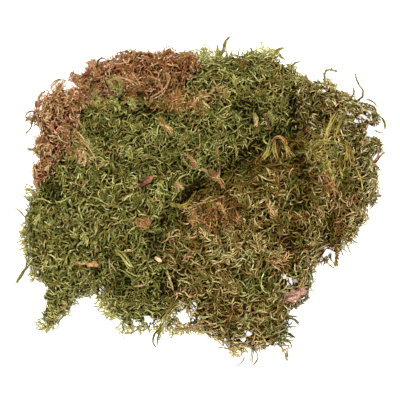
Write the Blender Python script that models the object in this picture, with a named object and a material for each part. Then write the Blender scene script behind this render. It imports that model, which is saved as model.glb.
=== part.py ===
"""Clump of preserved sheet moss, lying on a flat surface.

Three wads of moss (a green carpet, a darker green tuft and an olive sheet) and two dead brown
tufts are matted together. Small fronds, leaf scraps, twigs and straws lie on top of them.
Every solid reaches to the tips of the shoots that it stands for.

Frame: metres, +Z up, X and Y across the clump. The origin is on the surface that the clump
lies on, under the green carpet. Sizes below are in millimetres unless a name says otherwise.
"""

import math
from dataclasses import dataclass

import bmesh
import bpy
import numpy as np
from mathutils import Vector
from mathutils.bvhtree import BVHTree

MM = 0.001

# Driving dimensions
CARPET_HEIGHT = 19.0        # the green carpet, floor to shoot tips
RIGHT_TUFT_HEIGHT = 19.0
OLIVE_HEIGHT = 30.0         # the olive sheet lies over the carpet
TOP_TUFT_HEIGHT = 25.0
LEFT_TUFT_HEIGHT = 22.0
EDGE_POWER = 3.0            # higher: flatter top
EDGE_ROUNDNESS = 0.6        # lower: steeper rim
CLEARANCE = 0.5             # left between wads that touch
LAID_CLEARANCE = 0.5        # left under what lies on the moss
LAID_REACH = 1.6            # how far round itself a point of a laid piece looks for moss
LAID_DROOP = 3.0            # how far a laid piece may hang below its middle
SKIRT = 2.0                 # how far a cutter reaches below the floor
PROBE_HEIGHT = 100.0        # where the search for the moss surface starts

# Slow undulation that every wad has
WAVE_LENGTH = 41.0
WAVE_HEIGHT = 1.1


@dataclass
class Wad:
    """A flat-bottomed wad of moss: its outline, its height and its hummocks, in millimetres."""

    name: str
    colour: tuple
    centre: tuple
    height: float
    outline: tuple
    segments: int
    rings: int
    hummocks: tuple = ()
    lies_over: tuple = ()


@dataclass
class Laid:
    """A thin piece that lies on the moss: a pointed oval, turned by a heading in degrees."""

    name: str
    colour: tuple
    centre: tuple
    length: float
    width: float
    thickness: float
    heading: float
    point: float = 0.6
    segments: int = 18
    rings: int = 3


@dataclass
class Strand:
    """A round stem or straw that lies on the moss, along routes of points in millimetres."""

    name: str
    colour: tuple
    radius: float
    routes: tuple


WADS = (
    Wad(
        name="green_carpet",
        colour=(0.118, 0.150, 0.030),
        centre=(-30.0, 18.0),
        height=CARPET_HEIGHT,
        outline=(
            (69, 36), (67, 54), (60, 77), (53, 87), (37, 89), (18, 88.5), (0, 85),
            (-15, 78), (-36, 75), (-53, 70), (-68, 62), (-83, 55), (-90, 42), (-94, 24),
            (-100, 8), (-106, -3), (-108, -19), (-107, -35), (-101, -48), (-97, -60),
            (-95.5, -78), (-88, -78.5), (-77, -64), (-71, -57.5), (-61, -60), (-55, -69),
            (-47, -78), (-36, -79), (-21, -77), (-6, -78), (9, -75), (10, -60), (2, -42),
            (0, -24), (6, -9), (22, 5), (39, 17), (57, 25),
        ),
        segments=64,
        rings=14,
        hummocks=(
            (-64, -8, 22, 4.5), (-30, 46, 20, 4.0), (18, 68, 18, 3.5), (-84, -38, 13, 2.0),
            (-46, -50, 16, 4.0), (-6, 22, 14, 1.5), (48, 70, 10, 1.5), (-72, 34, 14, 1.5),
            (30, 25, 10, -4.5), (5, 7, 9, -4.5), (-21, -48, 8, -5.0), (60, 47, 8, -4.5),
        ),
    ),
    Wad(
        name="right_green_tuft",
        colour=(0.070, 0.085, 0.022),
        centre=(84.0, 42.0),
        height=RIGHT_TUFT_HEIGHT,
        outline=(
            (110, 43), (107, 55), (97, 60), (87, 66), (78, 70), (68, 74.5), (60, 75.5),
            (55, 67), (56, 54), (60, 36), (72, 21), (87, 3), (97, -7), (105, -7),
            (109, 3), (108, 21), (111, 33),
        ),
        segments=36,
        rings=8,
        hummocks=((80, 57, 12, 2.0), (99, 30, 10, 1.5), (94, 12, 8, -2.5)),
        lies_over=("green_carpet",),
    ),
    Wad(
        name="olive_sheet",
        colour=(0.150, 0.128, 0.036),
        centre=(37.0, -23.0),
        height=OLIVE_HEIGHT,
        outline=(
            (103, -3), (100, 12), (96, 30), (91, 43), (78, 49), (65, 47), (57, 41),
            (46, 39), (33, 33), (18, 25), (1, 13), (-13, 2), (-23, -8), (-33, -21),
            (-32, -36), (-24, -46), (-18, -57), (-14, -69), (-3, -78), (10, -83),
            (19, -88), (37, -91), (48, -88), (53, -75), (58, -65), (66, -58), (69, -42),
            (78, -31), (90, -26), (99, -20),
        ),
        segments=56,
        rings=13,
        hummocks=(
            (30, -2, 16, 3.5), (76, 8, 15, 1.5), (42, -54, 17, 3.5), (4, -58, 12, -4.0),
            (88, -12, 11, -5.0), (58, -40, 12, -2.0), (66, 34, 10, -5.0), (-12, -30, 12, 1.5),
        ),
        lies_over=("green_carpet", "right_green_tuft"),
    ),
    Wad(
        name="top_brown_tuft",
        colour=(0.262, 0.115, 0.045),
        centre=(-27.0, 75.0),
        height=TOP_TUFT_HEIGHT,
        outline=(
            (2, 79), (-3, 88), (-15, 90), (-30, 89.5), (-45, 90.5), (-54, 86), (-64, 82),
            (-74, 73), (-69, 63), (-54, 60), (-39, 59.5), (-21, 60.5), (-6, 66),
        ),
        segments=34,
        rings=7,
        hummocks=((-42, 80, 9, 1.5), (-14, 76, 8, -1.0)),
        lies_over=("green_carpet",),
    ),
    Wad(
        name="left_brown_tuft",
        colour=(0.230, 0.105, 0.045),
        centre=(-87.0, 42.0),
        height=LEFT_TUFT_HEIGHT,
        outline=(
            (-69, 49), (-68, 61), (-75, 68.5), (-86, 67), (-95, 62), (-100, 53),
            (-99.5, 36), (-101.5, 21), (-101, 7), (-91, 8), (-83, 21), (-75.5, 33),
        ),
        segments=30,
        rings=7,
        hummocks=((-84, 56, 9, 1.5), (-94, 22, 8, -2.0)),
        lies_over=("green_carpet", "top_brown_tuft"),
    ),
)

# Name, linear colour, centre, length, width, thickness, heading, point, segments, rings
LAID_PIECES = (
    Laid("rust_tuft", (0.270, 0.120, 0.050), (12, -9), 30, 19, 4.0, 8, 0.0, 22, 5),
    Laid("orange_frond", (0.330, 0.150, 0.045), (46, 32), 21, 14, 3.0, 0, 0.0, 20, 4),
    Laid("yellow_frond", (0.340, 0.260, 0.050), (81, 27), 38, 19, 3.0, 118, 0.2, 24, 5),
    Laid("tan_frond", (0.480, 0.310, 0.130), (-72, 25), 14, 6, 1.0, 78),
    Laid("red_leaf", (0.230, 0.050, 0.040), (-32, 12), 9, 3.4, 0.7, 38),
    Laid("orange_scrap_upper", (0.500, 0.270, 0.120), (-7, 24), 13, 4.2, 1.0, -48),
    Laid("orange_scrap_lower", (0.480, 0.210, 0.090), (-34, -14), 9.5, 6, 0.9, -20, 0.1),
    Laid("pale_leaf_curl", (0.560, 0.350, 0.190), (-68, -39), 14, 4.2, 1.0, -8),
    Laid("crumpled_leaf", (0.420, 0.250, 0.190), (57, -56), 14, 8, 1.2, -22, 0.1),
    Laid("pale_chip", (0.800, 0.700, 0.480), (-25, -36), 4.2, 2.0, 0.7, -18, 0.2, 14, 2),
)

# Name, linear colour, radius, routes
STRANDS = (
    Strand("forked_sprig", (0.400, 0.190, 0.080), 0.7, (
        ((3, 19), (7, 16.5), (11.5, 14.5), (13, 10), (15, 5.5)),
        ((11.5, 14.5), (11.3, 18.5), (11.5, 22.5)),
    )),
    Strand("yellow_sprig", (0.380, 0.360, 0.070), 0.7, (
        ((-0.6, 8), (-6, 2), (-10, -2.5), (-14, -3.8), (-19, -3.2)),
    )),
    Strand("bent_stem", (0.330, 0.220, 0.060), 0.6, (
        ((-50, -31), (-44, -31.6), (-38.5, -30.2), (-35.5, -26), (-35.2, -20.5)),
    )),
    Strand("pale_twig", (0.520, 0.410, 0.230), 0.6, (
        ((-20.5, -44), (-18.8, -49), (-16.5, -54)),
    )),
    Strand("pale_straw", (0.560, 0.430, 0.200), 0.45, (
        ((-4, -3.2), (2, -1.2), (8.5, 0.2), (15, 2.2)),
    )),
    Strand("short_straw", (0.560, 0.450, 0.210), 0.45, (
        ((-54.4, -35.5), (-54.2, -40), (-52.6, -44.5)),
    )),
    Strand("red_twig", (0.180, 0.055, 0.040), 0.6, (
        ((39.5, 50), (41.0, 46), (42.6, 42)),
    )),
)


def clear_scene():
    """Remove whatever objects the scene holds."""
    for item in list(bpy.data.objects):
        bpy.data.objects.remove(item, do_unlink=True)


def make_collection(name):
    """Return a new collection, linked to the scene."""
    collection = bpy.data.collections.new(name)
    bpy.context.scene.collection.children.link(collection)
    return collection


def plain_material(name, colour, roughness=0.85):
    """Return a Principled material in one linear colour."""
    material = bpy.data.materials.new(name)
    material.use_nodes = True
    shader = material.node_tree.nodes["Principled BSDF"]
    shader.inputs["Base Color"].default_value = (*colour, 1.0)
    shader.inputs["Roughness"].default_value = roughness
    shader.inputs["Metallic"].default_value = 0.0
    return material


def add_object(name, mesh, collection, colour=None):
    """Return a new object that shows the mesh, with its own material if it has a colour."""
    item = bpy.data.objects.new(name, mesh)
    collection.objects.link(item)
    if colour is not None:
        mesh.materials.append(plain_material(name + "_finish", colour))
    return item


def closed_curve(points, turn):
    """Return the place at a turn from 0 to 1 round a smooth closed curve through the points."""
    count = len(points)
    along = (turn % 1.0) * count
    first = int(along) % count
    t = along - int(along)
    p0, p1, p2, p3 = (np.array(points[(first + k) % count], float) for k in (-1, 0, 1, 2))
    return 0.5 * (
        2.0 * p1
        + (p2 - p0) * t
        + (2.0 * p0 - 5.0 * p1 + 4.0 * p2 - p3) * t ** 2
        + (3.0 * p1 - p0 - 3.0 * p2 + p3) * t ** 3
    )


def open_curve(points, steps):
    """Return points on a smooth open curve through the given ones, with steps to each span."""
    padded = [points[0], *points, points[-1]]
    result = []
    for first in range(len(points) - 1):
        p0, p1, p2, p3 = (np.array(padded[first + k], float) for k in range(4))
        for t in (step / steps for step in range(steps)):
            result.append(0.5 * (
                2.0 * p1
                + (p2 - p0) * t
                + (2.0 * p0 - 5.0 * p1 + 4.0 * p2 - p3) * t ** 2
                + (3.0 * p1 - p0 - 3.0 * p2 + p3) * t ** 3
            ))
    result.append(np.array(points[-1], float))
    return result


def tip_height(wad, x, y):
    """Return how high the shoots of a wad stand at x, y, away from its rim."""
    wave = math.sin(2.0 * math.pi * x / WAVE_LENGTH + 0.7) * math.cos(2.0 * math.pi * y / WAVE_LENGTH)
    height = wad.height + WAVE_HEIGHT * wave
    for hummock_x, hummock_y, spread, rise in wad.hummocks:
        distance = math.hypot(x - hummock_x, y - hummock_y)
        height += rise * math.exp(-0.5 * (distance / spread) ** 2)
    return height


def dome(segments, rings):
    """Return a bmesh of the upper half of a unit sphere, closed by one flat face."""
    mesh = bmesh.new()
    bmesh.ops.create_uvsphere(mesh, u_segments=segments, v_segments=2 * rings, radius=1.0)
    bmesh.ops.bisect_plane(
        mesh,
        geom=mesh.verts[:] + mesh.edges[:] + mesh.faces[:],
        dist=1e-5,
        plane_co=(0.0, 0.0, 0.0),
        plane_no=(0.0, 0.0, 1.0),
        clear_inner=True,
    )
    bmesh.ops.holes_fill(mesh, edges=[edge for edge in mesh.edges if edge.is_boundary], sides=0)
    return mesh


def turn_and_reach(place):
    """Return a dome vertex's turn round the centre (0 to 1) and its reach to the rim (0 to 1)."""
    turn = (math.atan2(place.y, place.x) / (2.0 * math.pi)) % 1.0
    reach = math.acos(max(-1.0, min(1.0, abs(place.z)))) / (0.5 * math.pi)
    return turn, reach


def wad_mesh(wad, grow=0.0):
    """Return a wad's mesh: a dome drawn out to its outline and its hummocks.

    With grow, in millimetres, it is larger all over and reaches below the floor, which is the
    shape that cuts the wads lying over it.
    """
    mesh = dome(wad.segments, wad.rings)
    centre = np.array(wad.centre)
    for vertex in mesh.verts:
        turn, reach = turn_and_reach(vertex.co)
        spoke = closed_curve(wad.outline, turn) - centre
        spoke *= 1.0 + grow / np.linalg.norm(spoke)
        x, y = centre + reach * spoke
        crown = max(0.0, 1.0 - reach ** EDGE_POWER) ** EDGE_ROUNDNESS
        z = tip_height(wad, x, y) * crown + grow
        if reach > 0.999:
            z = 0.0
        vertex.co = Vector((x, y, z)) * MM
    if grow > 0.0:
        floor = max(mesh.faces, key=lambda face: len(face.verts))
        skirt = bmesh.ops.extrude_face_region(mesh, geom=[floor])
        mesh.faces.remove(floor)
        lowered = [item for item in skirt["geom"] if isinstance(item, bmesh.types.BMVert)]
        bmesh.ops.translate(mesh, verts=lowered, vec=(0.0, 0.0, -SKIRT * MM))
    bmesh.ops.recalc_face_normals(mesh, faces=mesh.faces)
    return to_mesh(wad.name, mesh)


def to_mesh(name, source):
    """Turn a bmesh into a smooth-shaded mesh and free it."""
    mesh = bpy.data.meshes.new(name)
    source.to_mesh(mesh)
    source.free()
    mesh.shade_smooth()
    return mesh


def cut(item, cutter, operation="DIFFERENCE"):
    """Add an exact Boolean to an object."""
    modifier = item.modifiers.new(operation.lower() + "_" + cutter.name, "BOOLEAN")
    modifier.operation = operation
    modifier.solver = "EXACT"
    modifier.object = cutter


def build_wads(parts, cutters):
    """Make the wads, each cut to lie on the ones under it, and return them by name."""
    wads = {}
    cutter_by_name = {}
    for wad in WADS:
        item = add_object(wad.name, wad_mesh(wad), parts, wad.colour)
        wads[wad.name] = item
        shape = add_object(wad.name + "_cutter", wad_mesh(wad, CLEARANCE), cutters)
        shape.hide_render = True
        shape.display_type = "WIRE"
        cutter_by_name[wad.name] = shape
        for lower in wad.lies_over:
            cut(item, cutter_by_name[lower])
    bpy.context.view_layer.update()
    return wads


class Ground:
    """The top of the moss, found by looking straight down on the finished wads."""

    def __init__(self, wads):
        """Make a search tree of each wad as it is evaluated."""
        depsgraph = bpy.context.evaluated_depsgraph_get()
        self.trees = [BVHTree.FromObject(item, depsgraph) for item in wads.values()]

    def height(self, x, y):
        """Return the highest moss at x, y, all in millimetres."""
        start = Vector((x, y, PROBE_HEIGHT)) * MM
        hits = [tree.ray_cast(start, Vector((0.0, 0.0, -1.0)))[0] for tree in self.trees]
        return max((hit.z / MM for hit in hits if hit is not None), default=0.0)

    def height_near(self, x, y, radius):
        """Return the highest moss within a radius of x, y."""
        corners = ((0, 0), (radius, 0), (-radius, 0), (0, radius), (0, -radius))
        return max(self.height(x + dx, y + dy) for dx, dy in corners)


def laid_mesh(piece, ground):
    """Return a thin piece's mesh: a flattened sphere whose underside follows the moss."""
    mesh = bmesh.new()
    bmesh.ops.create_uvsphere(
        mesh, u_segments=piece.segments, v_segments=2 * piece.rings, radius=1.0
    )
    heading = math.radians(piece.heading)
    along = np.array((math.cos(heading), math.sin(heading)))
    across = np.array((-math.sin(heading), math.cos(heading)))
    lowest = ground.height(*piece.centre) - LAID_DROOP
    for vertex in mesh.verts:
        turn, reach = turn_and_reach(vertex.co)
        upper = vertex.co.z > 1e-4
        angle = 2.0 * math.pi * turn
        side = math.sin(angle) * abs(math.sin(angle)) ** piece.point
        x, y = (
            np.array(piece.centre)
            + along * (0.5 * piece.length * reach * math.cos(angle))
            + across * (0.5 * piece.width * reach * side)
        )
        z = max(lowest, ground.height_near(x, y, LAID_REACH)) + LAID_CLEARANCE
        if upper:
            z += piece.thickness * math.sqrt(1.0 - reach ** 2)
        vertex.co = Vector((x, y, z)) * MM
    return to_mesh(piece.name, mesh)


def build_laid_pieces(parts, ground):
    """Make the fronds and scraps that lie on the moss."""
    for piece in LAID_PIECES:
        add_object(piece.name, laid_mesh(piece, ground), parts, piece.colour)


def strand_object(name, route, radius, ground, collection):
    """Return a round stem along a route on the moss, as a closed mesh object."""
    curve = bpy.data.curves.new(name, "CURVE")
    curve.dimensions = "3D"
    curve.bevel_depth = radius * MM
    curve.bevel_resolution = 1
    curve.use_fill_caps = True
    points = open_curve(route, 3)
    spline = curve.splines.new("POLY")
    spline.points.add(len(points) - 1)
    for knot, (x, y) in zip(spline.points, points):
        z = ground.height_near(x, y, LAID_REACH) + LAID_CLEARANCE + radius
        knot.co = (x * MM, y * MM, z * MM, 1.0)
    guide = bpy.data.objects.new(name + "_guide", curve)
    collection.objects.link(guide)
    bpy.context.view_layer.update()
    evaluated = guide.evaluated_get(bpy.context.evaluated_depsgraph_get())
    mesh = bpy.data.meshes.new_from_object(evaluated)
    mesh.name = name
    welded = bmesh.new()
    welded.from_mesh(mesh)
    bmesh.ops.remove_doubles(welded, verts=welded.verts, dist=1e-6)
    welded.to_mesh(mesh)
    welded.free()
    mesh.materials.clear()
    mesh.shade_smooth()
    item = bpy.data.objects.new(name, mesh)
    item.matrix_world = guide.matrix_world
    collection.objects.link(item)
    bpy.data.objects.remove(guide)
    return item


def build_strands(parts, cutters, ground):
    """Make the stems, twigs and straws. A fork is a second stem joined to the first."""
    for strand in STRANDS:
        item = strand_object(strand.name, strand.routes[0], strand.radius, ground, parts)
        item.data.materials.append(plain_material(strand.name + "_finish", strand.colour))
        for number, route in enumerate(strand.routes[1:]):
            name = f"{strand.name}_fork_{number}"
            fork = strand_object(name, route, strand.radius * 0.9, ground, cutters)
            fork.hide_render = True
            fork.display_type = "WIRE"
            cut(item, fork, "UNION")


def main():
    """Build the whole clump."""
    clear_scene()
    parts = make_collection("preserved_moss_clump")
    cutters = make_collection("cutting_shapes")
    wads = build_wads(parts, cutters)
    ground = Ground(wads)
    build_laid_pieces(parts, ground)
    build_strands(parts, cutters, ground)


main()
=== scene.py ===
"""Looks of a flat clump of preserved sheet moss: its leafy shoots, its litter, light and camera.

Lengths are in millimetres until they go into a mesh. X runs to the right of the photograph, Y to
its top and Z up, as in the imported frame, whose origin is on the table below the clump's middle.
"""

import logging
import math
from dataclasses import dataclass, field
from enum import Enum
from typing import ClassVar

import bpy
import numpy as np
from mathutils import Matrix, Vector
from mathutils.bvhtree import BVHTree


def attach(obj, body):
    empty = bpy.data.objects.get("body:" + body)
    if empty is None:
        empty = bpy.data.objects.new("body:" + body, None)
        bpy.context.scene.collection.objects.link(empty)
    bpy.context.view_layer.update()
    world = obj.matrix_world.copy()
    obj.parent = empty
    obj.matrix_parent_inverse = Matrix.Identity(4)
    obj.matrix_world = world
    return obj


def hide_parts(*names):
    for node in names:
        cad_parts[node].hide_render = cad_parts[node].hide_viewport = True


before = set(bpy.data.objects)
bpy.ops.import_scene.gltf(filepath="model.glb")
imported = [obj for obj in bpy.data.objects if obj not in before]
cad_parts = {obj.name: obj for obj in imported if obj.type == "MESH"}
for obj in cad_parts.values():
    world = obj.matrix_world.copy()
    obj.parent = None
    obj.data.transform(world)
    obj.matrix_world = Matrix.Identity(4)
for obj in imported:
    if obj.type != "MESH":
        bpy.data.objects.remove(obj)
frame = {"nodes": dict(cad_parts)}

LOG = logging.getLogger("moss_clump")
MM = 0.001
BAKE_MAP = "OFBake"  # tone across, freshness with painted light and shade upwards, on every shoot
BODY = "root"
GOLDEN_TURN = math.radians(137.5)  # from one leaf to the next round a shoot
LEAF_IOR = 1.45
ABOVE_TABLE = 0.1  # of the lowest corner of any piece
STEEPEST = 2.5  # slope that the shoots still follow
FRESH_LIMITS = (0.1, 0.88)  # of the map, so that no leaf runs off its edge
TONE_LIMITS = (0.02, 0.98)

Route = tuple[tuple[float, float], ...]
Stops = tuple[tuple[float, str], ...]  # of a colour ramp: place and sRGB hex colour, from left to right


def unit(vectors: np.ndarray) -> np.ndarray:
    """Returns the vectors, along the last axis, at length one."""
    return vectors / np.maximum(np.linalg.norm(vectors, axis=-1, keepdims=True), 1e-9)


def linear(code: str) -> tuple[float, float, float, float]:
    """Turns an sRGB hex colour into linear light.

    Args:
        code: six hex digits after a hash.

    Returns:
        Red, green, blue and an alpha of one.
    """
    shares = [int(code[i : i + 2], 16) / 255 for i in (1, 3, 5)]
    red, green, blue = [s / 12.92 if s <= 0.04045 else ((s + 0.055) / 1.055) ** 2.4 for s in shares]
    return red, green, blue, 1.0


def feed(tree: bpy.types.NodeTree, node: bpy.types.Node, inputs: dict) -> None:
    """Sets or links a node's inputs.

    Args:
        tree: the material's node tree.
        node: whose inputs they are.
        inputs: by name or place, a fixed value, or an output that feeds it, or a node's first one.
    """
    for socket, source in inputs.items():
        if isinstance(source, bpy.types.Node):
            source = source.outputs[0]
        if isinstance(source, bpy.types.NodeSocket):
            tree.links.new(source, node.inputs[socket])
        else:
            node.inputs[socket].default_value = source


def add_node(
    tree: bpy.types.NodeTree, kind: str, settings: dict, inputs: dict, stops: Stops = ()
) -> bpy.types.Node:
    """Adds one node to a material.

    Args:
        tree: the material's node tree.
        kind: Blender's name for the node, after ShaderNode.
        settings: the node's own properties.
        inputs: what feeds it.
        stops: of a colour ramp.

    Returns:
        The new node.
    """
    node = tree.nodes.new("ShaderNode" + kind)
    for name, value in settings.items():
        setattr(node, name, value)
    for index, (place, code) in enumerate(stops):
        elements = node.color_ramp.elements
        stop = elements[index] if index < len(elements) else elements.new(place)
        stop.position = place
        stop.color = linear(code)
    feed(tree, node, inputs)
    return node


def new_material(name: str) -> tuple[bpy.types.Material, bpy.types.NodeTree, bpy.types.Node]:
    """Makes an empty node material.

    Args:
        name: the material's name.

    Returns:
        The material, its tree and its Principled shader, which already feeds the output.
    """
    material = bpy.data.materials.new(name)
    material.use_nodes = True
    tree = material.node_tree
    tree.nodes.clear()
    shader = add_node(tree, "BsdfPrincipled", {}, {})
    add_node(tree, "OutputMaterial", {}, {"Surface": shader})
    return material, tree, shader


@dataclass(frozen=True)
class MossFinish:
    """Moss shoots, air dried and preserved, with leaves 0.7 mm wide that overlap like plaits.

    Matt and dark below, paler and satin at the growing tips, where the leaves catch the light.

    Attributes:
        name: the material's name.
        deep: colours of the oldest, shaded leaves along the tones.
        middle: colours of the leaves in between.
        pale: colours of the youngest tips.
        roughness: of the leaves, dull ones and glossy ones.
    """

    name: str
    deep: Stops
    middle: Stops
    pale: Stops
    roughness: tuple[float, float] = (0.75, 0.42)

    def make(self) -> bpy.types.Material:
        """Returns the material, which reads tone and freshness, painted light and shade included, from the
        shoots' own map.
        """
        material, tree, shader = new_material(self.name)
        places = add_node(tree, "UVMap", {"uv_map": BAKE_MAP}, {})
        parts = add_node(tree, "SeparateXYZ", {}, {"Vector": places})
        tone, fresh = parts.outputs["X"], parts.outputs["Y"]
        # A leaf is 0.7 mm wide and takes 0.012 of the map, so three pleats to a leaf are 250 a map.
        # A shoot takes about 0.3 of the map along its 5 mm, so leaf tips 0.8 mm apart are 20 a map.
        stretch = add_node(
            tree, "VectorMath", {"operation": "MULTIPLY"}, {0: places, 1: (250.0, 20.0, 1.0)},
        )
        noise = {"Vector": stretch, "Scale": 1.0, "Detail": 2.0, "Roughness": 0.6}
        pleats = add_node(tree, "TexNoise", {"noise_dimensions": "2D"}, noise)
        colour = add_node(tree, "ValToRGB", {}, {"Fac": tone}, self.deep)
        for limit, stops in (("From Max", self.middle), ("From Min", self.pale)):
            eased = {"interpolation_type": "SMOOTHSTEP"}
            share = add_node(tree, "MapRange", eased, {"Value": fresh, limit: 0.5})
            newer = add_node(tree, "ValToRGB", {}, {"Fac": tone}, stops)
            mixed = {"Factor": share, 6: colour, 7: newer}
            colour = add_node(tree, "Mix", {"data_type": "RGBA"}, mixed).outputs[2]
        # The pleats scale the colour up and down: partly the leaves' own mottling, partly painted shade
        # between the pleats and painted highlight on the leaf tips.
        contrast = {"From Min": 0.3, "From Max": 0.7, "To Min": 0.4, "To Max": 1.65}
        shade = add_node(tree, "MapRange", {}, {"Value": pleats, **contrast})
        mottled_and_pleat_shade = add_node(tree, "VectorMath", {"operation": "SCALE"}, {0: colour, "Scale": shade})
        dull, glossy = self.roughness
        gloss = add_node(tree, "MapRange", {}, {"Value": fresh, "To Min": dull, "To Max": glossy})
        shine = add_node(
            tree, "MapRange", {}, {"Value": fresh, "From Min": 0.3, "From Max": 0.85, "To Max": 0.5},
        )
        bump = add_node(tree, "Bump", {}, {"Height": pleats, "Strength": 0.25, "Distance": 0.05 * MM})
        surface = {"Base Color": mottled_and_pleat_shade, "Roughness": gloss, "Specular IOR Level": shine, "Normal": bump}
        feed(tree, shader, {**surface, "IOR": LEAF_IOR})
        return material


GREEN_SHOOTS = MossFinish(
    "plait_moss_dried_green",
    deep=((0.0, "#111B12"), (0.35, "#171B0D"), (0.68, "#1E180B"), (1.0, "#26140D")),
    middle=((0.0, "#4C521F"), (0.35, "#605C22"), (0.68, "#6B5E24"), (1.0, "#6C4F24")),
    pale=((0.0, "#979A52"), (0.35, "#AAA55B"), (0.68, "#B2A160"), (1.0, "#B58E5E")),
)

DARK_GREEN_SHOOTS = MossFinish(
    "plait_moss_dried_dark_green",
    deep=((0.0, "#181706"), (0.4, "#1D1505"), (0.7, "#211405"), (1.0, "#251106")),
    middle=((0.0, "#5C5926"), (0.4, "#70602C"), (0.7, "#816331"), (1.0, "#835530")),
    pale=((0.0, "#BABA84"), (0.4, "#CCBF8A"), (0.7, "#D9B98C"), (1.0, "#DCA989")),
)

OLIVE_SHOOTS = MossFinish(
    "plait_moss_dried_olive",
    deep=((0.0, "#1D1501"), (0.35, "#211401"), (0.7, "#241201"), (1.0, "#281101")),
    middle=((0.0, "#4C501A"), (0.35, "#60551D"), (0.7, "#6C501F"), (1.0, "#6C4522")),
    pale=((0.0, "#9FA565"), (0.35, "#B6A86B"), (0.7, "#C2A369"), (1.0, "#C4966B")),
)

BROWN_SHOOTS = MossFinish(
    "plait_moss_dead_brown",
    deep=((0.0, "#2E1C0A"), (0.35, "#331A0B"), (0.7, "#35170D"), (1.0, "#321412")),
    middle=((0.0, "#735F28"), (0.35, "#815B2A"), (0.7, "#87552C"), (1.0, "#7E4829")),
    pale=((0.0, "#B9A974"), (0.35, "#CBA97B"), (0.7, "#CFA27A"), (1.0, "#C99272")),
)

RUST_STRANDS = MossFinish(
    "plait_moss_dead_rust",
    deep=((0.0, "#191303"), (0.35, "#1C0F03"), (0.7, "#200B03"), (1.0, "#1A0906")),
    middle=((0.0, "#645C20"), (0.35, "#66491B"), (0.7, "#6A3C16"), (1.0, "#502A1C")),
    pale=((0.0, "#A8A556"), (0.35, "#B0934F"), (0.7, "#B37C42"), (1.0, "#935F42")),
)

YELLOW_STRANDS = MossFinish(
    "plait_moss_dried_yellow",
    deep=((0.0, "#1A1706"), (0.35, "#1F1703"), (0.7, "#221303"), (1.0, "#220F05")),
    middle=((0.0, "#56521B"), (0.35, "#6C5D1F"), (0.7, "#72531B"), (1.0, "#6D3715")),
    pale=((0.0, "#9A9444"), (0.35, "#AE9A45"), (0.7, "#B08842"), (1.0, "#AC7044")),
)

TAN_STRANDS = MossFinish(
    "plait_moss_dead_tan",
    deep=((0.0, "#261F09"), (0.5, "#2B1A0B"), (1.0, "#2D1308")),
    middle=((0.0, "#78682F"), (0.5, "#84602F"), (1.0, "#87502A")),
    pale=((0.0, "#B4AC74"), (0.5, "#C9AB76"), (1.0, "#B98A54")),
)


@dataclass(frozen=True)
class FeltFinish:
    """Dark felt of dead stems and dust under the living shoots, matted by its own growth.

    Its top is painted nearly black, as the shade between the shoots, and its outer sides keep the felt's
    own brown. Its fibres are about 0.4 mm thick.
    """

    name: str = "moss_peat_matted"
    # colours: of the top, painted nearly black as the shade between the shoots; sides: the felt's own brown
    colours: Stops = ((0.3, "#0B0904"), (0.52, "#1E180A"), (0.72, "#352816"))
    sides: Stops = ((0.3, "#35260F"), (0.52, "#664C2A"), (0.72, "#8F7347"))
    fibre: float = 0.4

    def make(self) -> bpy.types.Material:
        """Returns the material, whose fibres follow the clump's own space."""
        material, tree, shader = new_material(self.name)
        noise = {"Scale": 1 / (self.fibre * 4 * MM), "Detail": 5.0, "Roughness": 0.7, "Distortion": 1.5}
        places = add_node(tree, "TexCoord", {}, {}).outputs["Object"]
        fibres = add_node(tree, "TexNoise", {}, {"Vector": places, **noise})
        bump = add_node(tree, "Bump", {}, {"Height": fibres, "Strength": 0.9, "Distance": self.fibre * MM})
        facing = add_node(tree, "NewGeometry", {}, {}).outputs["True Normal"]
        upward = add_node(tree, "SeparateXYZ", {}, {"Vector": facing}).outputs["Z"]
        # Faces that look up take the top's painted shade, steep ones the felt's own brown.
        flat = add_node(tree, "MapRange", {}, {"Value": upward, "From Min": 0.25, "From Max": 0.8})
        side, top = (add_node(tree, "ValToRGB", {}, {"Fac": fibres}, s) for s in (self.sides, self.colours))
        mixed = {"Factor": flat, 6: side, 7: top}
        colour = add_node(tree, "Mix", {"data_type": "RGBA"}, mixed).outputs[2]
        feed(
            tree, shader,
            {"Base Color": colour, "Normal": bump, "Roughness": 0.95, "Specular IOR Level": 0.1},
        )
        return material


@dataclass(frozen=True)
class Hollow:
    """A crevice or dip where the moss stands lower and its shoots are painted darker as shade, from one
    point to another.

    Attributes:
        start: one end, X and Y.
        end: the other end.
        reach: how far to each side it fades out.
        depth: how much lower the shoots stand in it.
    """

    start: tuple[float, float]
    end: tuple[float, float]
    reach: float
    depth: float

    def share(self, x: np.ndarray, y: np.ndarray) -> np.ndarray:
        """Returns how much of the hollow is at each place, from 0 to 1."""
        (ax, ay), (bx, by) = self.start, self.end
        along = (x - ax) * (bx - ax) + (y - ay) * (by - ay)
        along = np.clip(along / ((bx - ax) ** 2 + (by - ay) ** 2), 0, 1)
        apart = np.hypot(x - ax - along * (bx - ax), y - ay - along * (by - ay))
        return np.exp(-((apart / self.reach) ** 2))


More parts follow.
